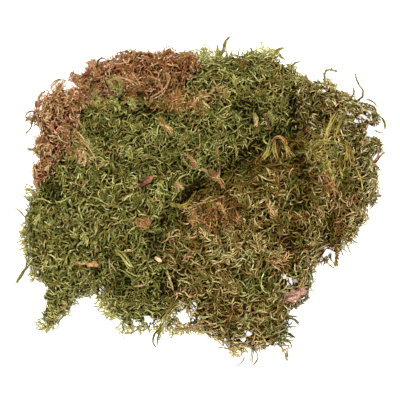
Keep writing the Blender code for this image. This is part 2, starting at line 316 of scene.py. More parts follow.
HOLLOWS = (
    Hollow((56.5, 61), (59, 43), 3.5, 4.5),
    Hollow((57, 42), (41, 36), 4.5, 3.5),
    Hollow((36, 29), (24, 18), 9.0, 7.0),
    Hollow((13, 13), (0, 4), 7.0, 6.5),
    Hollow((2, 5), (-18, -9), 3.5, 3.0),
    Hollow((-18, -9), (-28, -21), 3.5, 2.5),
    Hollow((-28, -21), (-26, -35), 3.0, 2.5),
    Hollow((-23, -38), (-22, -60), 3.5, 4.0),
    Hollow((-16, -43), (-14, -53), 2.5, 6.0),
    Hollow((-10, -9), (-8, -13), 3.5, 3.5),
    Hollow((14, 1), (18, -1), 2.6, 3.0),
    Hollow((23, -4), (24, -9), 3.0, 3.0),
    Hollow((53, 29), (60, 15), 4.5, 3.5),
    Hollow((-3, 7), (-6, 2), 4.5, 4.5),
    Hollow((71, 53), (77, 50), 4.5, 2.5),
    Hollow((-88, 7), (-88, 0), 5.0, 2.0),
    Hollow((78, -9), (79, -20), 4.5, 2.0),
    Hollow((52, -22), (54, -32), 7.0, 1.2),
    Hollow((60, 34), (60, -4), 4.0, 1.2),
    Hollow((12, -66), (18, -66), 6.0, 1.2),
    Hollow((-45, -36), (-46, -51), 6.0, 1.2),
    Hollow((-15, 24), (-14, 20), 5.0, 1.2),
    Hollow((-31, 54), (-26, 54), 6.0, 1.2),
    Hollow((26, 56), (34, 52), 6.0, 1.2),
)

# Where the table shows through the moss or bites into its outline: X, Y and half the width.
SEE_THROUGH = (
    (-10.0, -71.5, 3.2), (-31.2, -72.6, 2.0), (-24.0, -75.0, 1.9), (-38.7, -75.0, 1.4), (-17.4, -69.6, 1.3),
    (-11.4, -63.6, 0.4), (-4.2, -62.4, 0.6), (-3.6, -65.4, 0.9), (-3.0, -71.4, 1.1), (28.8, -80.4, 1.5),
    (25.8, -84.6, 1.3), (50.4, -46.2, 0.9), (54.0, -48.6, 1.3), (58.8, -48.6, 0.9), (-60.6, -54.0, 0.9),
    (-64.8, -57.6, 0.9), (-96.6, 55.2, 1.8), (-80.6, 69.0, 2.2), (74.8, 65.6, 1.2), (90.0, 51.6, 0.6),
    (94.2, 47.2, 0.9), (98.6, 49.8, 1.6), (102.8, 52.4, 1.1), (103.2, 49.4, 1.1), (103.5, 41.5, 3.2),
    (108.0, 41.0, 3.6), (109.0, 25.0, 3.2), (111.0, 14.0, 2.8), (105.5, -8.0, 3.5), (98.5, -20.5, 3.2),
    (-98.5, -54.0, 4.2), (-97.0, -63.0, 3.8), (-75.0, -67.5, 2.0), (-82.5, -74.5, 2.6), (-51.0, -74.5, 2.6),
    (62.5, -65.0, 3.6), (57.0, -69.0, 3.2), (76.8, -31.6, 2.3), (69.5, -60.5, 2.6), (43.5, -91.5, 3.2),
    (52.0, 85.5, 3.2), (68.0, 74.5, 2.6), (100.5, 61.5, 2.2), (-98.4, 42.0, 2.8), (-100.0, 24.5, 2.2),
)


class Ripple:
    """Smooth random waves over the clump, mostly between -1 and 1."""

    def __init__(self, length: float, seed: int, waves: int = 10) -> None:
        """Draws the waves.

        Args:
            length: the usual wave length.
            seed: of the random draw.
            waves: how many are summed.
        """
        rng = np.random.default_rng(seed)
        heading = rng.uniform(0, 2 * math.pi, waves)
        number = 2 * math.pi / (length * rng.uniform(0.6, 1.8, waves))
        self.kx, self.ky = number * np.cos(heading), number * np.sin(heading)
        self.phase = rng.uniform(0, 2 * math.pi, waves)

    def at(self, x: np.ndarray, y: np.ndarray) -> np.ndarray:
        """Returns the waves' height at each place."""
        total = sum(np.sin(kx * x + ky * y + p) for kx, ky, p in zip(self.kx, self.ky, self.phase))
        return total / math.sqrt(len(self.phase) / 2) / 1.4


@dataclass
class TuftPlace:
    """Where some points lie in the tufts around them.

    Attributes:
        away_x: X of the way from the tuft's middle, in millimetres.
        away_y: Y of it.
        edge: 0 where two tufts meet, 1 well inside one.
        height: the tuft's own height, about -1 to 1.
        pale: how pale the tuft is, about -1 to 1.
        heading: the tuft's own heading, in radians.
    """

    away_x: np.ndarray
    away_y: np.ndarray
    edge: np.ndarray
    height: np.ndarray
    pale: np.ndarray
    heading: np.ndarray


class Tufts:
    """The cushions that shoots grow in. The moss dips where two of them meet."""

    SPAN = 170.0  # half the width that they cover

    def __init__(self, spacing: float, seed: int) -> None:
        """Draws the tufts.

        Args:
            spacing: from one tuft to the next.
            seed: of the random draw.
        """
        self.spacing = spacing
        rng = np.random.default_rng(seed)
        count = int(2 * self.SPAN / spacing) + 1
        self.offset = rng.uniform(0.0, 1.0, (count, count, 2))
        self.traits = rng.normal(0, 0.6, (count, count, 2))
        self.heading = rng.uniform(0, 2 * math.pi, (count, count))

    def find(self, x: np.ndarray, y: np.ndarray) -> TuftPlace:
        """Finds the tuft that each point is in.

        Args:
            x: the points' X.
            y: the points' Y.

        Returns:
            Where each point lies in its tuft.
        """
        column = np.floor((x + self.SPAN) / self.spacing).astype(int)
        row = np.floor((y + self.SPAN) / self.spacing).astype(int)
        nearest, second = np.full(x.shape, 1e9), np.full(x.shape, 1e9)
        away_x, away_y = np.zeros(x.shape), np.zeros(x.shape)
        own = np.zeros(x.shape + (2,), int)
        last = len(self.offset) - 1
        for step_x in range(-2, 3):
            for step_y in range(-2, 3):
                i, j = np.clip(column + step_x, 0, last), np.clip(row + step_y, 0, last)
                dx = x - ((i + self.offset[i, j, 0]) * self.spacing - self.SPAN)
                dy = y - ((j + self.offset[i, j, 1]) * self.spacing - self.SPAN)
                apart = np.hypot(dx, dy)
                closer = apart < nearest
                second = np.where(closer, nearest, np.minimum(second, apart))
                nearest = np.where(closer, apart, nearest)
                away_x, away_y = np.where(closer, dx, away_x), np.where(closer, dy, away_y)
                own = np.where(closer[..., None], np.stack([i, j], -1), own)
        i, j = own[..., 0], own[..., 1]
        traits = self.traits[i, j]
        edge = np.clip((second - nearest) / (0.45 * self.spacing), 0, 1)
        return TuftPlace(away_x, away_y, edge, traits[..., 0], traits[..., 1], self.heading[i, j])


@dataclass(frozen=True)
class Oval:
    """An oval area of the clump, seen from above, with its heading in degrees from +X."""

    x: float
    y: float
    half_length: float
    half_width: float
    heading: float

    def apart(self, x: np.ndarray, y: np.ndarray) -> np.ndarray:
        """Returns the distance from the middle of the oval, 1 on its rim."""
        turn = math.radians(self.heading)
        along = (x - self.x) * math.cos(turn) + (y - self.y) * math.sin(turn)
        across = (y - self.y) * math.cos(turn) - (x - self.x) * math.sin(turn)
        return np.hypot(along / self.half_length, across / self.half_width)


@dataclass(frozen=True)
class Footprint(Oval):
    """The area that a piece of litter covers, and the height of its underside."""

    underside: float


class Relief:
    """The clump's upper surface as heights on a square grid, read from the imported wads."""

    STEP = 1.0
    REACH_X = 128.0
    REACH_Y = 108.0
    PROBE = 120.0
    TUFT_DIP = 1.5  # how far the moss dips where two tufts meet
    TUFT_LIFT = 0.6  # how far a high tuft stands above the rest
    DROOP = 1.3  # fall of the rim's overhang, to each millimetre outwards
    OVERHANG = 9  # steps
    LEAST = 0.9  # of a shoot's axis above the table
    SQUEEZE = 0.18  # share of its height that a shoot keeps above the moss
    PRESS = 0.5  # from a piece of litter down to the axes of the shoots under it
    THINNEST = 1.2  # of the moss, where a hollow is deeper than the moss is thick
    FULL_BULK = 12.0  # height from which the tufts are as deep as anywhere
    INNER = 0.98  # of the blurred area, where no outline is near
    MIX_WAVE = 0.45  # strength of the waves in the line where two wads meet
    MIX_POWER = 5  # how sharp that line is

    def __init__(self, nodes: dict[str, bpy.types.Object], wads: list["MossWad"]) -> None:
        """Casts a ray down at each grid point and shapes the tufts.

        Args:
            nodes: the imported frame's nodes.
            wads: the wads that the surface is made of.
        """
        corners, faces, owners = [], [], []
        for index, wad in enumerate(wads):
            mesh = nodes[wad.node].data
            mesh.calc_loop_triangles()
            start = len(corners)
            corners.extend(vertex.co / MM for vertex in mesh.vertices)
            faces.extend([start + i for i in tri.vertices] for tri in mesh.loop_triangles)
            owners.extend([index] * len(mesh.loop_triangles))
        tree = BVHTree.FromPolygons(corners, faces)
        self.xs = np.arange(-self.REACH_X, self.REACH_X + self.STEP / 2, self.STEP)
        self.ys = np.arange(-self.REACH_Y, self.REACH_Y + self.STEP / 2, self.STEP)
        self.height = np.zeros((len(self.ys), len(self.xs)))
        self.owner = np.full(self.height.shape, -1)
        down = Vector((0, 0, -1))
        for row, y in enumerate(self.ys):
            for column, x in enumerate(self.xs):
                place, _, face, _ = tree.ray_cast(Vector((x, y, self.PROBE)), down)
                if place is not None:
                    self.height[row, column] = place.z
                    self.owner[row, column] = owners[face]
        x, y = np.meshgrid(self.xs, self.ys)
        self.hollow = sum(h.share(x, y) for h in HOLLOWS)
        self.inside = self.outside_holes(x, y, 0.0) & (self.owner >= 0)
        inner = self.blurred((self.owner >= 0).astype(float), 3) > self.INNER
        # The steps between wads are eased, but not the outline.
        soft = np.where(inner, self.blurred(self.height, 3), self.height)
        shaped = soft - sum(h.depth * h.share(x, y) for h in HOLLOWS)
        for index, wad in enumerate(wads):
            place = wad.tufts.find(x, y)
            bulk = np.clip(self.height / self.FULL_BULK, 0.25, 1)  # thin rims have flat tufts
            dip = self.TUFT_DIP * (1 - place.edge) ** 2 - self.TUFT_LIFT * place.height
            shaped = np.where(self.owner == index, shaped - dip * bulk * wad.tuft_share, shaped)
        self.shaped = np.where(self.owner >= 0, np.maximum(shaped, self.THINNEST), 0)
        self.roof = self.shaped.copy()
        for _ in range(self.OVERHANG):
            for axis in (0, 1):
                for shift in (-1, 1):
                    self.roof = np.maximum(
                        self.roof, np.roll(self.roof, shift, axis) - self.DROOP * self.STEP,
                    )
        smooth = self.blurred(self.height, 2)
        self.slope_y, self.slope_x = np.gradient(smooth, self.STEP)
        self.rim = self.blurred((self.owner >= 0).astype(float), 4)  # 1 inside, 0.5 at the outline
        # Where wads meet, their shoots mix along a wavy line.
        waves = [np.exp(self.MIX_WAVE * Ripple(9, 3 + k).at(x, y)) for k in range(len(wads))]
        areas = [self.blurred((self.owner == k).astype(float), 4) for k in range(len(wads))]
        pulls = [(area * wave) ** self.MIX_POWER for area, wave in zip(areas, waves)]
        self.mix = [pull / np.maximum(sum(pulls), 1e-9) for pull in pulls]
        self.litter: list[Footprint] = []

    @staticmethod
    def outside_holes(x: np.ndarray, y: np.ndarray, margin: float) -> np.ndarray:
        """Returns whether each place is clear of the holes, widened by a margin."""
        clear = np.full(x.shape, True)
        for hole_x, hole_y, half in SEE_THROUGH:
            clear &= np.hypot(x - hole_x, y - hole_y) > half + margin
        return clear

    @staticmethod
    def blurred(layer: np.ndarray, times: int) -> np.ndarray:
        """Returns the layer with each point averaged with its neighbours, so many times."""
        for _ in range(times):
            layer = sum(np.roll(np.roll(layer, i, 0), j, 1) for i in (-1, 0, 1) for j in (-1, 0, 1)) / 9
        return layer

    def at(self, layer: np.ndarray, x: np.ndarray, y: np.ndarray) -> np.ndarray:
        """Reads a layer between its grid points.

        Args:
            layer: values on the grid.
            x: the places' X.
            y: the places' Y.

        Returns:
            The layer's value at each place.
        """
        across = np.clip((x - self.xs[0]) / self.STEP, 0, len(self.xs) - 1.001)
        up = np.clip((y - self.ys[0]) / self.STEP, 0, len(self.ys) - 1.001)
        j, i = across.astype(int), up.astype(int)
        fx, fy = across - j, up - i
        low = layer[i, j] * (1 - fx) + layer[i, j + 1] * fx
        high = layer[i + 1, j] * (1 - fx) + layer[i + 1, j + 1] * fx
        return low * (1 - fy) + high * fy

    def slopes(self, x: np.ndarray, y: np.ndarray) -> tuple[np.ndarray, np.ndarray]:
        """Returns how steeply the surface rises along X and along Y at each place."""
        slope_x, slope_y = (self.at(layer, x, y) for layer in (self.slope_x, self.slope_y))
        return np.clip(slope_x, -STEEPEST, STEEPEST), np.clip(slope_y, -STEEPEST, STEEPEST)

    def spread(self, expected: np.ndarray, rng: np.random.Generator) -> tuple[np.ndarray, np.ndarray]:
        """Draws evenly scattered places: where one cell gets too many, its neighbours get fewer.

        Args:
            expected: how many places each cell of the grid should get.
            rng: of the draw.

        Returns:
            X and Y of the places.
        """
        rows, columns = expected.shape
        owed = expected.tolist()
        found = []
        for row in range(1, rows - 1):
            here, below = owed[row], owed[row + 1]
            for column in range(1, columns - 1):
                want = here[column]
                if expected[row, column] <= 0:
                    continue
                count = max(round(want), 0)
                found.extend([(row, column)] * count)
                rest = (want - count) / 16
                here[column + 1] += 7 * rest
                below[column - 1] += 3 * rest
                below[column] += 5 * rest
                below[column + 1] += rest
        row, column = np.array(found).T
        x = self.xs[column] + rng.uniform(-0.6, 0.6, len(row)) * self.STEP
        y = self.ys[row] + rng.uniform(-0.6, 0.6, len(row)) * self.STEP
        return x, y

    def settle(self, spines: np.ndarray, slack: float) -> np.ndarray:
        """Presses shoots into the mat, under the litter and off the table.

        Args:
            spines: points along each shoot.
            slack: how far a shoot may stand above the mat before it is pressed down.

        Returns:
            The points in their new places.
        """
        x, y, z = spines[..., 0], spines[..., 1], spines[..., 2]
        roof = self.at(self.roof, x, y) + slack
        z = np.where(z > roof, roof + self.SQUEEZE * (z - roof), z)
        for piece in self.litter:
            over = piece.apart(x, y) < 1
            z = np.where(over, np.minimum(z, piece.underside - self.PRESS), z)
        return np.stack([x, y, np.maximum(z, self.LEAST)], -1)

    def buried(self, spines: np.ndarray) -> np.ndarray:
        """Returns how deep each point lies below the mat's surface."""
        return self.at(self.roof, spines[..., 0], spines[..., 1]) - spines[..., 2]


class Heap:
    """Triangles gathered for one piece, with a place on the bake map for each corner."""

    def __init__(self) -> None:
        """Starts an empty heap."""
        self.corners: list[np.ndarray] = []
        self.faces: list[np.ndarray] = []
        self.places: list[np.ndarray] = []
        self.smooth: list[np.ndarray] = []
        self.count = 0

    def add(self, corners: np.ndarray, faces: np.ndarray, places: np.ndarray, smooth: bool) -> None:
        """Adds closed shapes.

        Args:
            corners: points, in millimetres.
            faces: three corners to a face, counted from this call's first corner.
            places: tone and freshness of each corner.
            smooth: whether the faces are shaded smooth.
        """
        self.smooth.append(np.full(len(faces), smooth))
        self.faces.append(faces + self.count)
        self.corners.append(corners)
        self.places.append(places)
        self.count += len(corners)

    def piece(self, name: str, material: bpy.types.Material, slot: str, node: str = "") -> None:
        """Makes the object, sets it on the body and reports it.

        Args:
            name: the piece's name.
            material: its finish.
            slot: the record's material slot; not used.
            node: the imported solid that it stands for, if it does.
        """
        corners = np.concatenate(self.corners) * MM
        faces = np.concatenate(self.faces).astype(np.int32)
        places = np.concatenate(self.places)
        mesh = bpy.data.meshes.new(name)
        mesh.vertices.add(len(corners))
        mesh.loops.add(faces.size)
        mesh.polygons.add(len(faces))
        mesh.vertices.foreach_set("co", corners.astype(np.float32).ravel())
        mesh.loops.foreach_set("vertex_index", faces.ravel())
        mesh.polygons.foreach_set("loop_start", np.arange(0, faces.size, 3, dtype=np.int32))
        mesh.polygons.foreach_set("use_smooth", np.concatenate(self.smooth))
        layer = mesh.uv_layers.new(name=BAKE_MAP)
        layer.data.foreach_set(
            "uv", np.clip(places[faces.ravel()], 0.001, 0.999).astype(np.float32).ravel(),
        )
        mesh.materials.append(material)
        mesh.update()
        mesh.validate()
        made = bpy.data.objects.new(name, mesh)
        bpy.context.scene.collection.objects.link(made)
        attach(made, BODY)
        if node:
            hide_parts(node)
        LOG.info("%s: %d triangles", made.name, len(faces))


@dataclass(frozen=True)
class ShootStyle:
    """How one kind of shoot grows. Angles are in degrees.

    Attributes:
        length: shortest and longest shoot.
        joints: points along a shoot.
        radius: of a shoot's body, halfway up.
        leaves: how many leaves stand off a shoot.
        leaf: length and width of such a leaf.
        splay: angle between a leaf and the shoot.
        bend: least and greatest turn from root to tip.
        stray: how far headings differ from their tuft's.
    """

    length: tuple[float, float]
    joints: int
    radius: float
    leaves: int
    leaf: tuple[float, float]
    splay: float = 20.0
    bend: tuple[float, float] = (15.0, 90.0)
    stray: float = 50.0


@dataclass(frozen=True)
class Layer:
    """One of the layers of shoots in the mat. Angles are in degrees.

    Attributes:
        share: of the wad's shoots.
        depth: least and greatest depth of the roots in the mat.
        lift: lowest and highest angle of a shoot off the mat.
        upright: share of shoots that stand up and show mostly their tips.
        length: of its shoots, against those of the wad's style.
        joints: points along a shoot, against the style's.
        leafy: whether leaves stand off the shoots, which can't be seen in the depth.
        fresh: added to the shoots' freshness; on the skirt it is painted light, in the undergrowth partly
            painted shade.
        wall: whether it covers the steep outer side instead of the top.
    """

    share: float
    depth: tuple[float, float]
    lift: tuple[float, float]
    upright: float = 0.1
    length: float = 1.0
    joints: int = 0
    leafy: bool = True
    fresh: float = 0.0
    wall: bool = False


# The undergrowth is darker, partly as its older shoots are and partly as painted shade in the depth.
UNDERGROWTH = Layer(share=0.37, depth=(1.8, 3.6), lift=(0.0, 32.0), joints=-2, leafy=False, fresh=-0.18)
FRONDS = Layer(
    share=0.024, depth=(0.6, 1.8), lift=(0.0, 20.0), upright=0.0, length=1.9, joints=2, fresh=-0.07,
)
TOP_SHOOTS = Layer(share=0.42, depth=(0.2, 1.6), lift=(-6.0, 30.0), upright=0.14)
LONG_STRANDS = Layer(
    share=0.012, depth=(-0.5, 0.4), lift=(-6.0, 10.0), upright=0.0, length=2.0, joints=3, fresh=0.1,
)
# The skirt's shoots are made paler: painted light on the steep outer side, which stands in shade.
SKIRT = Layer(share=0.3, depth=(0.0, 1.4), lift=(-10.0, 30.0), length=1.15, fresh=0.3, wall=True)


@dataclass
class Shoots:
    """A batch of shoots, one to a row.

    Attributes:
        root: where each one starts.
        aim: its first heading.
        hinge: the axis that it curls about, square to its heading.
        length: its length.
        bend: its turn from root to tip, in radians.
        girth: its thickness, 1 for its style's own.
        tone: its tone, 0 to 1 across its finish's ramps.
        fresh: how fresh and pale it is, 0 to 1, with painted light and shade added on slopes, rims and
            hollows.
    """

    root: np.ndarray
    aim: np.ndarray
    hinge: np.ndarray
    length: np.ndarray
    bend: np.ndarray
    girth: np.ndarray
    tone: np.ndarray
    fresh: np.ndarray

    def spines(self, joints: int, rng: np.random.Generator) -> np.ndarray:
        """Bends each shoot.

        Args:
            joints: points along a shoot.
            rng: of the small wavers.

        Returns:
            Points along each shoot, from root to tip.
        """
        along = (np.arange(joints - 1) + 0.5) / (joints - 1)
        waver = rng.normal(0, 0.22, (len(self.root), 1))
        phase = rng.uniform(0, 2 * math.pi, (len(self.root), 1))
        turn = self.bend[:, None] * along**1.3 + waver * np.sin(7 * along + phase)
        ahead = self.aim[:, None] * np.cos(turn)[..., None]
        ahead += np.cross(self.hinge, self.aim)[:, None] * np.sin(turn)[..., None]
        stride = (self.length / (joints - 1))[:, None, None]
        steps = np.concatenate([np.zeros_like(self.root)[:, None], ahead * stride], axis=1)
        return self.root[:, None] + np.cumsum(steps, axis=1)

    def part(self, chosen: np.ndarray) -> "Shoots":
        """Returns the chosen rows."""
        return Shoots(*(getattr(self, name)[chosen] for name in self.__dataclass_fields__))


# Heel, left, right and tip of a leaf, and its four faces.
LEAF_FACES = np.array([(0, 1, 2), (1, 3, 2), (0, 3, 1), (0, 2, 3)])
HALF_SHOOT_ON_MAP = 0.006
SIDES = 3  # of a shoot's body, which is only two pixels wide


def add_shoots(
    heap: Heap,
    spines: np.ndarray,
    shoots: Shoots,
    style: ShootStyle,
    leaves: int,
    buried: np.ndarray,
    rng: np.random.Generator,
) -> None:
    """Makes shoots: a tapered body of tight leaves, and the leaves whose tips stand off it.

    Args:
        heap: what they are added to.
        spines: points along each shoot.
        shoots: the shoots.
        style: their style.
        leaves: how many leaves stand off each one.
        buried: how deep each point lies in the mat.
        rng: of the small differences.
    """
    count, joints = spines.shape[:2]
    ahead = unit(np.gradient(spines, axis=1))
    side = unit(np.cross(shoots.hinge[:, None], ahead))
    other = np.cross(ahead, side)
    along = np.arange(joints) / (joints - 1)
    # Paler towards the tip, as young leaves are; darker the deeper a point lies below the mat's surface,
    # partly the older leaves' own colour and partly painted shade.
    fresh = shoots.fresh[:, None] + 0.3 * (along - 0.5) - 0.11 * np.clip(buried, 0, 4)
    fresh = np.clip(fresh, *FRESH_LIMITS)

    swell = 0.72 + 0.5 * np.sin(math.pi * along**0.75)  # thickest below its middle, pointed at the tip
    radius = style.radius * shoots.girth[:, None] * swell * rng.uniform(0.85, 1.15, (count, joints))
    turn = 2 * math.pi * np.arange(SIDES) / SIDES + rng.uniform(0, 2 * math.pi, (count, 1, 1))
    turn = np.broadcast_to(turn + rng.normal(0, 0.25, (count, joints, 1)), (count, joints, SIDES))
    out = side[:, :, None] * np.cos(turn)[..., None] + other[:, :, None] * np.sin(turn)[..., None]
    ring = spines[:, :, None] + out * radius[:, :, None, None]
    body = np.concatenate([ring[:, :-1].reshape(count, -1, 3), spines[:, -1:]], axis=1)
    around = HALF_SHOOT_ON_MAP * np.array([-1.0, 1.0, 0.2])
    tone = np.clip(shoots.tone[:, None] + rng.normal(0, 0.012, (count, joints)), *TONE_LIMITS)
    up = fresh[:, :-1, None] + 0.02 * around / HALF_SHOOT_ON_MAP
    places = np.stack([tone[:, :-1, None] + around, up], -1)
    tips = np.stack([tone[:, -1], fresh[:, -1] + 0.08], -1)[:, None]
    places = np.concatenate([places.reshape(count, -1, 2), tips], axis=1)
    faces = []
    for joint in range(joints - 2):
        for k in range(SIDES):
            a, b = joint * SIDES + k, joint * SIDES + (k + 1) % SIDES
            faces += [(a, b, b + SIDES), (a, b + SIDES, a + SIDES)]
    last = (joints - 2) * SIDES
    faces += [(last + k, last + (k + 1) % SIDES, last + SIDES) for k in range(SIDES)]
    faces.append((0, 2, 1))
    size = body.shape[1]
    faces = np.array(faces)[None] + size * np.arange(count)[:, None, None]
    body[..., 2] = np.maximum(body[..., 2], ABOVE_TABLE)
    heap.add(body.reshape(-1, 3), faces.reshape(-1, 3), places.reshape(-1, 2), leaves == 0)
    if not leaves:
        return

    spot = (np.arange(leaves) + 0.7) / (leaves + 0.2) * (joints - 1)
    low = np.minimum(spot.astype(int), joints - 2)
    part = (spot - low)[None, :, None]

    def between(values: np.ndarray) -> np.ndarray:
        """Returns what lies between two joints, at each leaf."""
        return values[:, low] * (1 - part) + values[:, low + 1] * part

    ahead, side, other, heel = between(ahead), between(side), between(other), between(spines)
    turn = GOLDEN_TURN * np.arange(leaves) + rng.uniform(0, 2 * math.pi, (count, 1))
    turn = turn + rng.normal(0, 0.3, (count, leaves))
    out = side * np.cos(turn)[..., None] + other * np.sin(turn)[..., None]
    size = style.leaf[0] * shoots.girth[:, None] * rng.uniform(0.75, 1.25, (count, leaves))
    width = (size * style.leaf[1] / style.leaf[0])[..., None]
    splay = math.radians(style.splay) * rng.uniform(0.5, 1.5, (count, leaves))[..., None]
    size = size[..., None]
    reach = ahead * np.cos(splay) + out * np.sin(splay)
    across = np.cross(ahead, out)
    heel = heel + out * between(radius[..., None]) * 0.55
    belly = heel + reach * size * 0.42 + out * width * 0.12
    tip = heel + reach * size + across * size * rng.normal(0, 0.12, (count, leaves, 1))
    corners = np.stack([heel, belly - across * width / 2, belly + across * width / 2, tip], axis=2)
    corners[..., 2] = np.maximum(corners[..., 2], ABOVE_TABLE)
    fresh = between(fresh[..., None])[..., 0] + rng.normal(0, 0.04, (count, leaves))
    tone = shoots.tone[:, None] + rng.normal(0, 0.015, (count, leaves))
    fresh, tone = np.clip(fresh, *FRESH_LIMITS), np.clip(tone, *TONE_LIMITS)
    half = HALF_SHOOT_ON_MAP
    places = [(0, -0.06), (-half, 0.0), (half, 0.0), (0, 0.1)]
    places = np.stack([np.stack([tone + aside, fresh + up], -1) for aside, up in places], axis=2)
    faces = LEAF_FACES[None] + 4 * np.arange(count * leaves)[:, None, None]
    heap.add(corners.reshape(-1, 3), faces.reshape(-1, 3), places.reshape(-1, 2), False)


def side_shoots(
    main: Shoots, spines: np.ndarray, angle: float, reach: tuple[float, float], rng: np.random.Generator
) -> Shoots:
    """Grows shoots on both sides of each main shoot, as on a feather.

    Args:
        main: the main shoots.
        spines: points along them.
        angle: between the side shoots and the main one, in degrees.
        reach: length of the first and the last ones, as shares of the main shoot's.
        rng: of the draw.

    Returns:
        The side shoots.
    """
    count, joints = spines.shape[:2]
    ahead = unit(np.gradient(spines, axis=1))
    up = unit(main.hinge + 0.35 * rng.normal(0, 1, main.hinge.shape))
    across = unit(np.cross(up[:, None], ahead))
    parts = []
    for joint in range(1, joints - 1):
        for side in (-1, 1):
            along = joint / (joints - 1)
            turn = math.radians(angle) * rng.uniform(0.75, 1.2, count)[:, None]
            aim = ahead[:, joint] * np.cos(turn) + across[:, joint] * side * np.sin(turn)
            aim = unit(aim + rng.normal(0, 0.12, aim.shape) + np.array([0, 0, 0.12]))
            hinge = np.cross(ahead[:, joint], aim) + 0.3 * rng.normal(0, 1, aim.shape)
            hinge = unit(hinge - aim * (hinge * aim).sum(-1, keepdims=True))
            share = reach[0] + (reach[1] - reach[0]) * along
            length = main.length * share * rng.uniform(0.75, 1.2, count)
            bend = -np.radians(rng.uniform(5, 55, count))
            tone = main.tone + rng.normal(0, 0.04, count)
            fresh = main.fresh + 0.06 * along + rng.normal(0, 0.12, count)
            parts.append(Shoots(spines[:, joint], aim, hinge, length, bend, main.girth * 0.8, tone, fresh))
    return Shoots(*(np.concatenate([getattr(p, n) for p in parts]) for n in Shoots.__dataclass_fields__))


def smoothed(route: Route, rounds: int = 3) -> np.ndarray:
    """Cuts the corners of a route, so that it bends evenly.

    Args:
        route: its points.
        rounds: how often each corner is cut.

    Returns:
        Many points from its start to its end.
    """
    points = np.array(route, float)
    for _ in range(rounds):
        near, far = points[:-1] * 0.75 + points[1:] * 0.25, points[:-1] * 0.25 + points[1:] * 0.75
        cut = np.stack([near, far], 1).reshape(-1, points.shape[1])
        points = np.concatenate([points[:1], cut, points[-1:]])
    return points


def along_route(points: np.ndarray, shares: np.ndarray) -> np.ndarray:
    """Returns the places at these shares of a route's length."""
    strides = np.linalg.norm(np.diff(points, axis=0), axis=1)
    walked = np.concatenate([[0.0], np.cumsum(strides)]) / strides.sum()
    return np.stack([np.interp(shares, walked, points[:, k]) for k in range(points.shape[1])], -1)


@dataclass(frozen=True)
class Bunch:
    """Strands that lie side by side along one route, on top of the moss.

    Attributes:
        route: points on the route, X and Y.
        count: how many strands.
        width: of the bunch in its middle.
        height: of the strands above the moss.
        take: least and greatest share of the route that a strand takes.
        arch: how much higher the middle of the route is than its ends.
        waver: how far a strand swings to its sides.
        girth: thinnest and thickest strand, against the style's.
        tone: lowest and highest tone.
        fresh: dullest and freshest.
        barbs: length of the side shoots, as a share of the strand's; none at nought.
        barb_angle: of the side shoots, in degrees.
        joints: points along a strand.
        scatter: how far headings differ from the route's, in degrees.
        curl: how far a strand bows to one side, as a share of its length.
        loose: how far strands lie above or below each other.
    """

    LEAF_GAP: ClassVar[float] = 1.3  # from one leaf to the next along a strand

    route: Route
    count: int = 1
    width: float = 0.0
    height: float = 0.6
    take: tuple[float, float] = (1.0, 1.0)
    arch: float = 0.0
    waver: float = 0.4
    girth: tuple[float, float] = (0.9, 1.2)
    tone: tuple[float, float] = (0.2, 0.8)
    fresh: tuple[float, float] = (0.5, 0.85)
    barbs: float = 0.0
    barb_angle: float = 40.0
    joints: int = 8
    scatter: float = 0.0
    curl: float = 0.0
    loose: float = 0.5

    def strands(self, relief: Relief, rng: np.random.Generator) -> list[tuple[Shoots, np.ndarray, int]]:
        """Lays the strands out.

        Args:
            relief: the clump's surface.
            rng: of the draw.

        Returns:
            Batches of shoots with the points along each one, and the leaves that stand off each.
        """
        points = smoothed(self.route)
        count = self.count
        take = rng.uniform(*self.take, count)
        start = rng.uniform(0, 1, count) * (1 - take)
        shares = start[:, None] + take[:, None] * np.linspace(0, 1, self.joints)
        middle = along_route(points, shares)
        before, after = np.maximum(shares - 0.02, 0), np.minimum(shares + 0.02, 1)
        ahead = unit(along_route(points, after) - along_route(points, before))
        aside = np.stack([-ahead[..., 1], ahead[..., 0]], -1)
        offset = rng.uniform(-0.5, 0.5, (count, 1)) * self.width
        offset = offset * (0.55 + 0.45 * np.sin(math.pi * np.clip(shares, 0, 1)))
        offset = offset + rng.normal(0, 0.12, (count, 1)) * self.width * np.linspace(0, 1, self.joints)
        phase = rng.uniform(0, 2 * math.pi, (count, 1))
        swing = np.sin(5 * shares * take[:, None] + phase)
        offset = offset + self.waver * rng.normal(0, 0.6, (count, 1)) * swing
        place = middle + aside * offset[..., None]
        own = place.mean(axis=1, keepdims=True)
        away = place - own
        reach = np.linalg.norm(away[:, -1] - away[:, 0], axis=1)[:, None, None]
        bow = self.curl * rng.normal(0, 1, (count, 1, 1)) * reach
        away = away + aside * bow * ((2 * np.linspace(0, 1, self.joints)[:, None] - 1) ** 2 - 0.33)
        turn = np.radians(self.scatter) * rng.normal(0, 1, (count, 1))
        x = own[..., 0] + away[..., 0] * np.cos(turn) - away[..., 1] * np.sin(turn)
        y = own[..., 1] + away[..., 0] * np.sin(turn) + away[..., 1] * np.cos(turn)
        z = relief.at(relief.roof, x, y) + self.height + self.loose * rng.uniform(-1, 1, (count, 1))
        z = z + self.arch * np.sin(math.pi * np.clip(shares, 0, 1))
        for _ in range(2):
            z[:, 1:-1] = (z[:, :-2] + 2 * z[:, 1:-1] + z[:, 2:]) / 4
        spines = np.stack([x, y, np.maximum(z, Relief.LEAST)], -1)
        length = np.linalg.norm(np.diff(spines, axis=1), axis=2).sum(1)
        up = np.tile([0.0, 0.0, 1.0], (count, 1)) + 0.1 * rng.normal(0, 1, (count, 3))
        zero = np.zeros(count)
        girth = rng.uniform(*self.girth, count)
        tone, fresh = rng.uniform(*self.tone, count), rng.uniform(*self.fresh, count)
        main = Shoots(
            spines[:, 0], unit(spines[:, 1] - spines[:, 0]), unit(up), length, zero, girth, tone, fresh,
        )
        batches = [(main, spines, max(int(length.mean() / self.LEAF_GAP), 2))]
        if self.barbs > 0:
            side = side_shoots(main, spines, self.barb_angle, (self.barbs, 0.5 * self.barbs), rng)
            batches.append((side, side.spines(5, rng), 2))
        return batches


